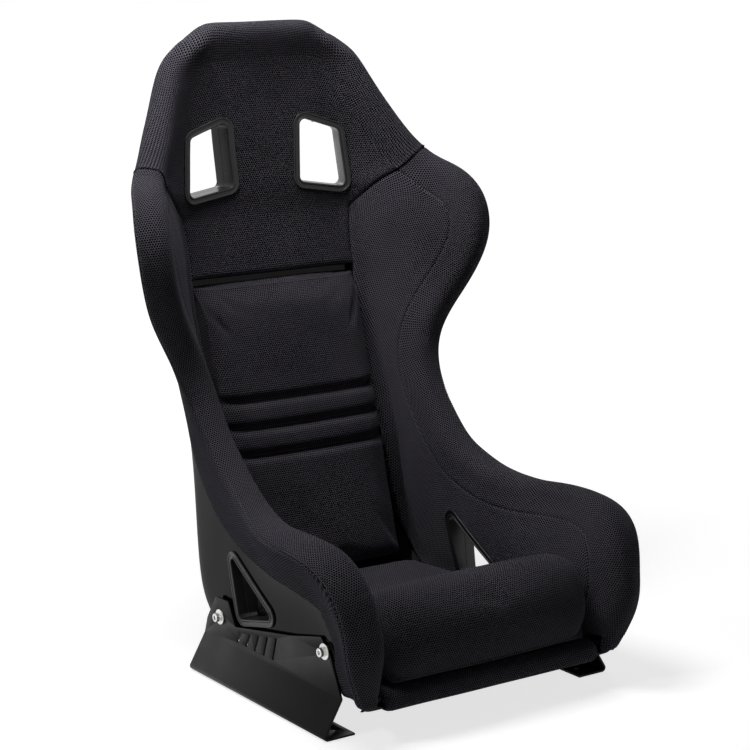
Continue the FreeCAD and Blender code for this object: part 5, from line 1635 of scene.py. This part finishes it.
@dataclass
class BackCushion(Cushion):
    """Cushion under the upper back panel, with three sewn channels."""

    name: str = "back_cushion_padding"
    stands_for: tuple = ("back_cushion_foam", "back_cushion_cover")
    low: float = 114.0 * MM
    high: float = 550.0 * MM
    low_half: float = 136.0 * MM
    top_half: float = 147.0 * MM
    face: float = 205.0 * MM
    face_height: float = 250.0 * MM
    recline: float = 17.0
    crown: float = 6.0 * MM
    channel_heights: tuple = (300.0 * MM, 340.0 * MM, 380.0 * MM)
    channel_depth: float = 9.0 * MM
    channel_half: float = 7.0 * MM
    stitch_depth: float = 1.5 * MM
    stitch_half: float = 1.6 * MM
    # how far an edge is set back, and over what reach
    top_round: tuple = (12.0 * MM, 16.0 * MM)
    foot_round: tuple = (6.0 * MM, 10.0 * MM)
    side_round: tuple = (6.0 * MM, 10.0 * MM)
    # swell of the face round the channels, and its reach
    lumbar: tuple = (3.0 * MM, 55.0 * MM)

    def face_at(self, z: Array) -> Array:
        """The face's place at a height."""
        return self.face + (z - self.face_height) * math.tan(math.radians(self.recline))

    def grids(self) -> tuple[Array, Array]:
        """Face and rear of the cushion."""
        z = np.linspace(self.low, self.high - 0.3 * self.shrink, 84)
        w = np.append(2.0 * eased(60, 0.35) - 1.0, 1.0)
        rise = (z - self.low) / (self.high - self.low)
        half = mix(self.low_half, self.top_half, rise) - 0.4 * self.shrink
        face = self.face_at(z) + self.shrink
        ends = self.top_round[0] * bell(z - z[-1], self.top_round[1])
        ends = ends + self.foot_round[0] * bell(z - z[0], self.foot_round[1])
        inset = (1.0 - np.abs(w)) * self.low_half
        sides = self.side_round[0] * bell(inset, self.side_round[1])
        y = face[:, None] - self.crown * (1.0 - w * w) + sides + ends[:, None]
        front = np.stack([half[:, None] * w, y, np.broadcast_to(z[:, None], y.shape)], -1)
        s = station_at(2, z, 8.5, 16.0)
        v = np.array([share_at(s[i:i + 1], h)[0] for i, h in enumerate(half)])
        rear = FORM.layer(np.repeat(s[:, None], len(w), 1), v[:, None] * w, FORM.wall + 3.0 * MM)
        return front, rear

    def channels(self, points: Array) -> Array:
        """Three channels across the face."""
        depth = np.zeros(len(points))
        front = smooth(1.0 - (points[:, 1] - self.face_at(points[:, 2])) / (24.0 * MM))
        for height in self.channel_heights:
            away = points[:, 2] - height
            depth += self.channel_depth * bell(away, self.channel_half)
            depth += self.stitch_depth * bell(away, self.stitch_half)
        middle = 0.5 * (self.channel_heights[0] + self.channel_heights[-1])
        depth -= self.lumbar[0] * bell(points[:, 2] - middle, self.lumbar[1])
        return depth * front


@dataclass
class BaseCushion(Cushion):
    """A cushion on the shell's base, drawn from a (y, z) profile."""

    half: float = 175.0 * MM
    foot_half: float = 166.0 * MM
    end_round: float = 46.0 * MM
    rows: int = 60
    profile: tuple = ()

    def bend(self, y: Array, z: Array, share: Array) -> tuple[Array, Array]:
        """Move the profile for a share of end rounding."""
        return y, z

    def lifted(self, under: Array) -> Array:
        """The underside, clear of what it passes over."""
        return under

    def grids(self) -> tuple[Array, Array]:
        """Top and underside of the cushion."""
        keys = np.array(self.profile)[None] * MM
        run = chords(np.concatenate([np.zeros((1, keys.shape[1], 1)), keys], 2))
        at = mix(run[:, :1], run[:, -1:], np.append(eased(self.rows, 0.3), 1.0)[None])
        line = spline_values(run, keys, second_slopes(run, keys), at)[0]
        step = np.gradient(line, axis=0)
        step = step / np.linalg.norm(step, axis=1, keepdims=True)
        y = line[:, 0] + step[:, 1] * self.shrink
        z = line[:, 1] - step[:, 0] * self.shrink
        y[0], y[-1] = line[0, 0] + self.shrink, line[-1, 0] - self.shrink
        w = np.append(2.0 * eased(70, 0.6) - 1.0, 1.0)
        half = self.half - self.shrink
        late = np.clip(1.0 - half * (1.0 - np.abs(w)) / self.end_round, 0.0, 1.0)
        turn = 1.0 - np.sqrt(1.0 - late * late)
        bent_y, bent_z = self.bend(y[:, None], z[:, None], turn[None])
        top = np.stack([np.broadcast_to(half * w, bent_z.shape),
                        np.broadcast_to(bent_y, bent_z.shape), bent_z], -1)
        s = station_at(1, np.linspace(y[0], y[-1], len(y)), 0.0, 9.6)
        v = share_at(s, self.foot_half - self.shrink)
        under = FORM.layer(np.repeat(s[:, None], len(w), 1), v[:, None] * w, FORM.wall + 3.0 * MM)
        return top, self.lifted(under)


@dataclass
class SeatPad(BaseCushion):
    """Flat pad behind the thigh roll."""

    name: str = "seat_pad_padding"
    stands_for: tuple = ("seat_pad_foam", "seat_pad_cover")
    profile: tuple = ((-92.0, 126.0), (-44.0, 122.7), (4.0, 119.3), (52.0, 116.0), (100.0, 112.7),
                      (148.0, 109.3), (196.0, 106.0))

    def bend(self, y: Array, z: Array, share: Array) -> tuple[Array, Array]:
        """The pad's ends fall."""
        return y, z - 14.0 * MM * share


@dataclass
class ThighRoll(BaseCushion):
    """Raised roll across the front of the seat."""

    name: str = "thigh_roll_padding"
    stands_for: tuple = ("thigh_roll_foam", "thigh_roll_cover")
    steps: int = 10
    profile: tuple = ((-240.0, 82.0), (-252.0, 108.0), (-252.0, 146.0), (-242.0, 176.0),
                      (-225.0, 196.0), (-200.0, 204.0), (-170.0, 196.0), (-140.0, 174.0),
                      (-113.5, 148.0), (-93.5, 130.0))

    end_pull: float = 0.36
    core: tuple = (-188.0 * MM, 128.0 * MM)
    lip_height: float = 26.4 * MM
    lip_reach: float = 40.0 * MM
    ramp: float = 35.0 * MM

    def bend(self, y: Array, z: Array, share: Array) -> tuple[Array, Array]:
        """The roll's ends draw in towards its core."""
        pull = self.end_pull * share
        return mix(y, self.core[0], pull), mix(z, self.core[1], pull)

    def lifted(self, under: Array) -> Array:
        """Clear of the lip's crest."""
        lip = FORM.point(np.zeros(1), np.zeros(1))[0]
        clear = lip[2] + self.lip_height + self.shrink
        share = smooth((under[:, :1, 1] - lip[1] - self.lip_reach) / self.ramp)
        under[..., 2] = mix(np.maximum(clear, under[..., 2]), under[..., 2], share)
        return under


# ------------------------------------------------------------------ repeated small forms
def repeat_tree(name: str, follows_path: bool) -> bpy.types.NodeTree:
    """Geometry Nodes tree that sets copies of a form along a path or on marked points.

    Args:
        name: The tree's name.
        follows_path: True to step along the input's edges, False to use its points and
            their "turn" attribute.

    Returns:
        Tree with the inputs Geometry, Form, Material, Pitch, Jitter and Seed.
    """
    tree = bpy.data.node_groups.new(name, "GeometryNodeTree")
    tree.interface.new_socket("Geometry", in_out="INPUT", socket_type="NodeSocketGeometry")
    tree.interface.new_socket("Form", in_out="INPUT", socket_type="NodeSocketObject")
    tree.interface.new_socket("Material", in_out="INPUT", socket_type="NodeSocketMaterial")
    for label, kind in (("Pitch", "Float"), ("Jitter", "Float"), ("Seed", "Int")):
        tree.interface.new_socket(label, in_out="INPUT", socket_type="NodeSocket" + kind)
    tree.interface.new_socket("Geometry", in_out="OUTPUT", socket_type="NodeSocketGeometry")
    kit = Shader(tree)
    start, end = kit.node("NodeGroupInput"), kit.node("NodeGroupOutput")
    form = kit.node("GeometryNodeObjectInfo", transform_space="ORIGINAL")
    kit.feed(form.inputs["Object"], start.outputs["Form"])
    place = kit.node("GeometryNodeInstanceOnPoints")
    kit.feed(place.inputs["Instance"], form.outputs["Geometry"])
    if follows_path:
        curve = kit.node("GeometryNodeMeshToCurve")
        kit.feed(curve.inputs[0], start.outputs["Geometry"])
        even = kit.node("GeometryNodeResampleCurve", mode="LENGTH")
        kit.feed(even.inputs["Curve"], curve.outputs[0])
        kit.feed(even.inputs["Length"], start.outputs["Pitch"])
        up = kit.node("GeometryNodeInputNamedAttribute", data_type="FLOAT_VECTOR")
        up.inputs["Name"].default_value = "up"
        upright = kit.node("FunctionNodeAlignRotationToVector", axis="Z")
        kit.feed(upright.inputs["Vector"], up.outputs[0])
        along = kit.node("FunctionNodeAlignRotationToVector", axis="X", pivot_axis="Z")
        kit.feed(along.inputs["Rotation"], upright.outputs[0])
        kit.feed(along.inputs["Vector"], kit.node("GeometryNodeInputTangent").outputs[0])
        kit.feed(place.inputs["Points"], even.outputs[0])
        turn = along.outputs[0]
    else:
        mark = kit.node("GeometryNodeInputNamedAttribute", data_type="FLOAT_VECTOR")
        mark.inputs["Name"].default_value = "turn"
        euler = kit.node("FunctionNodeEulerToRotation")
        kit.feed(euler.inputs[0], mark.outputs[0])
        kit.feed(place.inputs["Points"], start.outputs["Geometry"])
        turn = euler.outputs[0]
    kit.feed(place.inputs["Rotation"], turn)
    chance = kit.node("FunctionNodeRandomValue", data_type="FLOAT")
    low = kit.math("SUBTRACT", 1.0, start.outputs["Jitter"])
    high = kit.math("ADD", 1.0, start.outputs["Jitter"])
    kit.feed(chance.inputs[2], low)
    kit.feed(chance.inputs[3], high)
    kit.feed(chance.inputs["Seed"], start.outputs["Seed"])
    kit.feed(place.inputs["Scale"], chance.outputs[1])
    real = kit.node("GeometryNodeRealizeInstances")
    kit.feed(real.inputs[0], place.outputs[0])
    paint = kit.node("GeometryNodeSetMaterial")
    kit.feed(paint.inputs["Geometry"], real.outputs[0])
    kit.feed(paint.inputs["Material"], start.outputs["Material"])
    kit.feed(end.inputs[0], paint.outputs[0])
    return tree


def repeated(piece: bpy.types.Object, tree: bpy.types.NodeTree, form: bpy.types.Object,
             finish: Finish, pitch: float = 0.0, jitter: float = 0.0,
             seed: int = 7) -> bpy.types.Object:
    """Replace a piece's mesh by the copies that a tree sets on it.

    Args:
        piece: The path or points.
        tree: The tree.
        form: The form to copy; it is removed afterwards.
        finish: Finish of the copies.
        pitch: Step along the path.
        jitter: Share by which the copies differ in size.
        seed: Seed of that.

    Returns:
        The same piece.
    """
    modifier = piece.modifiers.new(tree.name, "NODES")
    modifier.node_group = tree
    values = {"Form": form, "Material": finish.material(), "Pitch": pitch, "Jitter": jitter,
              "Seed": seed}
    for socket in tree.interface.items_tree:
        if socket.in_out == "INPUT" and socket.name in values:
            modifier[socket.identifier] = values[socket.name]
    piece = settled(piece)
    piece.data.shade_smooth()
    bpy.data.objects.remove(form)
    return piece


def marked(name: str, points: Array, attribute: str, values: Array,
           runs: Sequence[int] = ()) -> bpy.types.Object:
    """Mesh of points with a vector attribute, joined by edges inside each run.

    Args:
        name: The object's name.
        points: Vertices.
        attribute: Name of the vector attribute.
        values: Its values, (n, 3).
        runs: Number of points in each path; empty for loose points.

    Returns:
        The object.
    """
    edges, first = [], 0
    for count in runs:
        edges += [(first + i, first + i + 1) for i in range(count - 1)]
        first += count
    mesh = bpy.data.meshes.new(name)
    mesh.from_pydata(np.asarray(points).tolist(), edges, [])
    mark = mesh.attributes.new(attribute, "FLOAT_VECTOR", "POINT")
    mark.data.foreach_set("vector", np.asarray(values, float).ravel())
    piece = bpy.data.objects.new(name, mesh)
    bpy.context.scene.collection.objects.link(piece)
    return piece


def round_section(radius: float, turn: Array) -> Array:
    """The same radius all the way round."""
    return np.full_like(turn, radius)


@dataclass
class Turned:
    """A form turned about the X axis, for bolts, washers and stitches."""

    rings: tuple
    around: int = 48

    def build(self, name: str, finish: Finish,
              shape: Callable[[float, Array], Array]) -> bpy.types.Object:
        """Make the form.

        Args:
            name: The object's name.
            finish: Its finish.
            shape: Turns a ring's radius and the angles round it into radii.

        Returns:
            The object.
        """
        turn = np.linspace(0.0, 2.0 * math.pi, self.around + 1)[:-1]
        rings = []
        for kind, (x, radius) in enumerate(self.rings):
            r = shape(radius, turn) if kind < len(self.rings) else radius
            rings.append(np.stack([np.full(self.around, x), r * np.cos(turn), r * np.sin(turn)], 1))
        faces = grid_faces(len(rings), self.around, True).tolist()
        last = (len(rings) - 1) * self.around
        faces += [list(range(self.around))[::-1], [last + i for i in range(self.around)]]
        return new_piece(name, np.concatenate(rings), faces, finish)


@dataclass
class Fasteners:
    """Socket-head bolts and washers that hold the side mounts."""

    face: float = 216.5 * MM
    washer: float = 2.0 * MM
    washer_radius: float = 11.5 * MM
    places: tuple = ((-150.0 * MM, 112.6 * MM), (139.0 * MM, 89.0 * MM))
    knurls: int = 40

    def bolt_radius(self, radius: float, turn: Array) -> Array:
        """Knurled on the head's side, six-sided in its socket, round elsewhere."""
        if radius == 6.5 * MM:
            return radius - 0.12 * MM * (1.0 + np.cos(self.knurls * turn))
        if radius == 3.0 * MM:
            return radius / np.cos((turn + math.pi / 6.0) % (math.pi / 3.0) - math.pi / 6.0)
        return np.full_like(turn, radius)

    def points(self, name: str, depth: float) -> bpy.types.Object:
        """Marked points of the four fasteners."""
        places, turns = [], []
        for side in (1.0, -1.0):
            for y, z in self.places:
                places.append((side * (self.face + depth), y, z))
                turns.append((0.0, 0.0, 0.0 if side > 0.0 else math.pi))
        return marked(name, np.array(places), "turn", np.array(turns))

    def build(self) -> None:
        """Make the bolts and the washers."""
        tree = repeat_tree("set on points", False)
        bolt = Turned(tuple((x * MM, r * MM) for x, r in (
            (-10.5, 3.4), (-9.8, 4.0), (0.0, 4.0), (0.0, 6.1), (0.4, 6.5), (6.9, 6.5), (7.5, 6.2),
            (8.0, 5.6), (8.0, 3.5), (7.7, 3.0), (3.5, 3.0), (3.5, 1.0))), 160)
        form = bolt.build("bolt form", Finish.ZINC, self.bolt_radius)
        piece = repeated(self.points("socket_head_bolts", self.washer), tree, form, Finish.ZINC)
        finished(crisp(piece, 0.12 * MM), ("mount_bolts_right", "mount_bolts_left"))
        thick, wide = self.washer / MM, self.washer_radius / MM
        washer = Turned(tuple((x * MM, r * MM) for x, r in (
            (0.0, 4.2), (0.0, wide - 0.3), (0.3, wide), (thick - 0.4, wide), (thick, wide - 0.5),
            (thick, 4.2))), 72)
        form = washer.build("washer form", Finish.ZINC, round_section)
        piece = repeated(self.points("plain_washers", 0.0), tree, form, Finish.ZINC)
        finished(crisp(piece, 0.1 * MM),
                 ("mount_washers_right", "mount_washers_left"))


@dataclass
class Stitching:
    """Thread along the sewn seams and in the back cushion's channels."""

    pitch: float = 4.2 * MM
    length: float = 3.0 * MM
    thread: float = 0.33 * MM
    beside: float = 2.6 * MM
    sink: float = 0.25 * MM

    def seam_paths(self) -> list[tuple[Array, Array]]:
        """Places and normals of the thread beside the side seams, both sides."""
        paths = []
        for points, normal in SEAM_LINES:
            tangent = unit(np.gradient(points, axis=0))
            across = unit(np.cross(normal, tangent))
            line = (points + across * self.beside - normal * self.sink)[6:-6]
            for side in (1.0, -1.0):
                flip = np.array([side, 1.0, 1.0])
                paths.append((line * flip, normal[6:-6] * flip))
        return paths

    def channel_paths(self, cushion: BackCushion,
                      piece: bpy.types.Object) -> list[tuple[Array, Array]]:
        """Places and normals of the thread in the channels."""
        mesh = piece.data
        tree = BVHTree.FromPolygons([v.co for v in mesh.vertices],
                                    [p.vertices for p in mesh.polygons])
        paths = []
        for height in cushion.channel_heights:
            places, normals = [], []
            for x in np.linspace(-cushion.low_half + 0.016, cushion.low_half - 0.016, 90):
                before = Vector((x, -0.3, height))
                hit, normal, _, _ = tree.ray_cast(before, Vector((0.0, 1.0, 0.0)))
                if hit is not None:
                    places.append(hit)
                    normals.append(normal)
            paths.append((np.array(places), unit(np.array(normals))))
        return paths

    def build(self, cushion: BackCushion, piece: bpy.types.Object) -> bpy.types.Object:
        """Make the stitches.

        Args:
            cushion: The back cushion's sizes.
            piece: The built back cushion.

        Returns:
            The finished piece.
        """
        paths = self.seam_paths() + self.channel_paths(cushion, piece)
        half, r = 0.5 * self.length, self.thread
        form = Turned(((-half, 0.4 * r), (-0.72 * half, r), (0.72 * half, r), (half, 0.4 * r)), 6)
        stitch = form.build("stitch form", Finish.THREAD, round_section)
        path = marked("stitching", np.concatenate([p for p, _ in paths]), "up",
                      np.concatenate([n for _, n in paths]), [len(p) for p, _ in paths])
        piece = repeated(path, repeat_tree("set along a path", True), stitch, Finish.THREAD,
                         self.pitch, 0.06, 11)
        return finished(piece)


# ------------------------------------------------------------------ plates and carried pieces
@dataclass
class SideMount:
    """Folded steel plate, with its cut edges broken."""

    side: str
    edge: float = 0.45 * MM

    def build(self) -> bpy.types.Object:
        """Make the plate from its CAD form.

        Returns:
            The finished piece.
        """
        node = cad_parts[f"side_mount_{self.side}"]
        mesh = node.data.copy()
        mesh.transform(node.matrix_world)
        work = bmesh.new()
        work.from_mesh(mesh)
        bmesh.ops.remove_doubles(work, verts=work.verts, dist=1e-6)
        bmesh.ops.dissolve_limit(work, angle_limit=math.radians(0.4), verts=work.verts,
                                 edges=work.edges)
        bmesh.ops.recalc_face_normals(work, faces=work.faces)
        work.to_mesh(mesh)
        work.free()
        mesh.shade_smooth()
        mesh.materials.clear()
        mesh.materials.append(Finish.MOUNT.material())
        piece = bpy.data.objects.new(f"mount_plate_{self.side}", mesh)
        bpy.context.scene.collection.objects.link(piece)
        return finished(crisp(piece, self.edge), (node.name,))


def dress_carried() -> None:
    """Give the CAD pieces that stay in sight their finish."""
    for name, finish in (("threaded_inserts_right", Finish.INSERT),
                         ("threaded_inserts_left", Finish.INSERT),
                         ("back_hook_strips", Finish.TAPE), ("base_hook_strips", Finish.TAPE)):
        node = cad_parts[name]
        node.data.materials.clear()
        node.data.materials.append(finish.material())


# ------------------------------------------------------------------ studio
@dataclass
class Studio:
    """Pale floor, soft lights and the camera."""

    floor: tuple = (0.62, 0.62, 0.62)
    place: tuple = (-1.6641, -2.4894, 1.0272)
    azimuth: float = -33.33
    elevation: float = 10.99
    roll: float = -1.17
    lens: float = 101.7
    radius: float = 60.0
    floor_sides: int = 64
    floor_gap: float = 0.4 * MM
    glow_near: float = 0.74
    fill: float = 0.015
    lights: tuple = (
        # name, place, aim, size, power
        ("overhead", (-0.35, 0.12, 1.72), (0.0, 0.25, 0.8), 0.7, 15.0),
        ("left", (-2.2, -0.2, 2.1), (0.0, 0.1, 0.8), 0.35, 9.0),
        ("front", (0.6, -3.4, 1.6), (0.0, 0.0, 0.4), 1.6, 0.3),
        ("right", (2.9, -0.8, 2.2), (0.0, 0.0, 0.6), 1.2, 1.0),
        ("rear", (0.5, 3.0, 2.4), (0.0, 0.0, 0.7), 1.4, 12.0),
    )

    def seen(self, shader: Shader) -> bpy.types.NodeSocket:
        """1 for rays that show the background: to the camera, and in gloss and glass."""
        path = shader.node("ShaderNodeLightPath")
        shown = shader.math("MAXIMUM", path.outputs["Is Camera Ray"], path.outputs["Is Glossy Ray"])
        return shader.math("MAXIMUM", shown, path.outputs["Is Transmission Ray"])

    def ground(self) -> None:
        """Floor that keeps the shadow and turns white away from it."""
        material, shader, surface = principled("pale_studio_floor", Roughness=0.9,
                                               Specular_IOR_Level=0.1)
        place = shader.node("ShaderNodeTexCoord").outputs["Object"]
        grain = shader.noise(place, 3.0)
        dim = tuple(0.985 * c for c in self.floor)
        far = shader.ramp(shader.vector("LENGTH", place), 0.5, 1.9)
        near = shader.colour(grain, dim, self.floor)
        shader.feed(surface.inputs["Base Color"], shader.colour(far, near, (0.3, 0.3, 0.3)))
        shader.feed(surface.inputs["Emission Color"], (1.0, 1.0, 1.0, 1.0))
        glow = shader.math("MULTIPLY_ADD", far, 1.0 - self.glow_near, self.glow_near)
        shader.feed(surface.inputs["Emission Strength"],
                    shader.math("MULTIPLY", glow, self.seen(shader)))
        turn = np.linspace(0.0, 2.0 * math.pi, self.floor_sides + 1)[:-1]
        points = [(self.radius * math.cos(a), self.radius * math.sin(a), -self.floor_gap)
                  for a in turn]
        mesh = bpy.data.meshes.new("studio_floor")
        mesh.from_pydata(points, [], [list(range(self.floor_sides))])
        mesh.materials.append(material)
        floor = bpy.data.objects.new("studio_floor", mesh)
        bpy.context.scene.collection.objects.link(floor)

    def world(self) -> None:
        """White behind everything, with a weak fill light."""
        world = bpy.data.worlds.new("studio")
        world.use_nodes = True
        shader = Shader(world.node_tree)
        back = world.node_tree.nodes["Background"]
        shader.feed(back.inputs["Color"], (1.0, 1.0, 1.0, 1.0))
        strength = shader.math("MULTIPLY_ADD", self.seen(shader), 1.0 - self.fill, self.fill)
        shader.feed(back.inputs["Strength"], strength)
        bpy.context.scene.world = world

    def build(self) -> None:
        """Set up floor, lights, world and camera."""
        self.ground()
        self.world()
        for name, place, aim, size, power in self.lights:
            light = bpy.data.lights.new(name, "AREA")
            light.shape, light.size, light.energy = "DISK", size, power
            lamp = bpy.data.objects.new(name, light)
            lamp.location = place
            lamp.rotation_euler = (Vector(aim) - Vector(place)).to_track_quat("-Z", "Y").to_euler()
            bpy.context.scene.collection.objects.link(lamp)
        bpy.context.scene.view_settings.view_transform = "Standard"
        lens = bpy.data.cameras.new("camera")
        lens.lens, lens.sensor_width = self.lens, 36.0
        camera = bpy.data.objects.new("camera", lens)
        camera.location = self.place
        turn = Euler((math.radians(90.0 - self.elevation), 0.0, math.radians(self.azimuth)))
        tilt = Matrix.Rotation(math.radians(self.roll), 3, "Z")
        camera.rotation_euler = (turn.to_matrix() @ tilt).to_euler()
        bpy.context.scene.collection.objects.link(camera)
        bpy.context.scene.camera = camera


def bezels() -> list[Bezel]:
    """The eight halves of the belt-slot trims."""
    halves = []
    for side in ("right", "left"):
        halves += [
            Bezel(f"harness_trim_front_{side}", (f"harness_bezel_front_{side}",), HarnessSlot(),
                  "head", True, side),
            Bezel(f"harness_trim_rear_{side}", (f"harness_bezel_rear_{side}",), HarnessSlot(),
                  "shell", False, side),
            Bezel(f"lap_trim_inner_{side}", (f"lap_bezel_inner_{side}",), LapSlot(),
                  "side", True, side),
            Bezel(f"lap_trim_outer_{side}", (f"lap_bezel_outer_{side}",), LapSlot(),
                  "shell", False, side)]
    return halves


def main() -> None:
    """Build the seat and its studio."""
    logging.basicConfig(level=logging.INFO, format="%(message)s")
    LOG.info("racing seat: %d CAD nodes", len(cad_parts))
    Shell().build()
    for side in ("right", "left"):
        SidePadding(side).build()
    HeadPadding().build()
    LipPadding().build()
    for trim in bezels():
        trim.build()
    cushion = BackCushion()
    padded = cushion.build()
    SeatPad().build()
    ThighRoll().build()
    Stitching().build(cushion, padded)
    for side in ("right", "left"):
        SideMount(side).build()
    Fasteners().build()
    dress_carried()
    Studio().build()


if __name__ == "__main__":
    main()
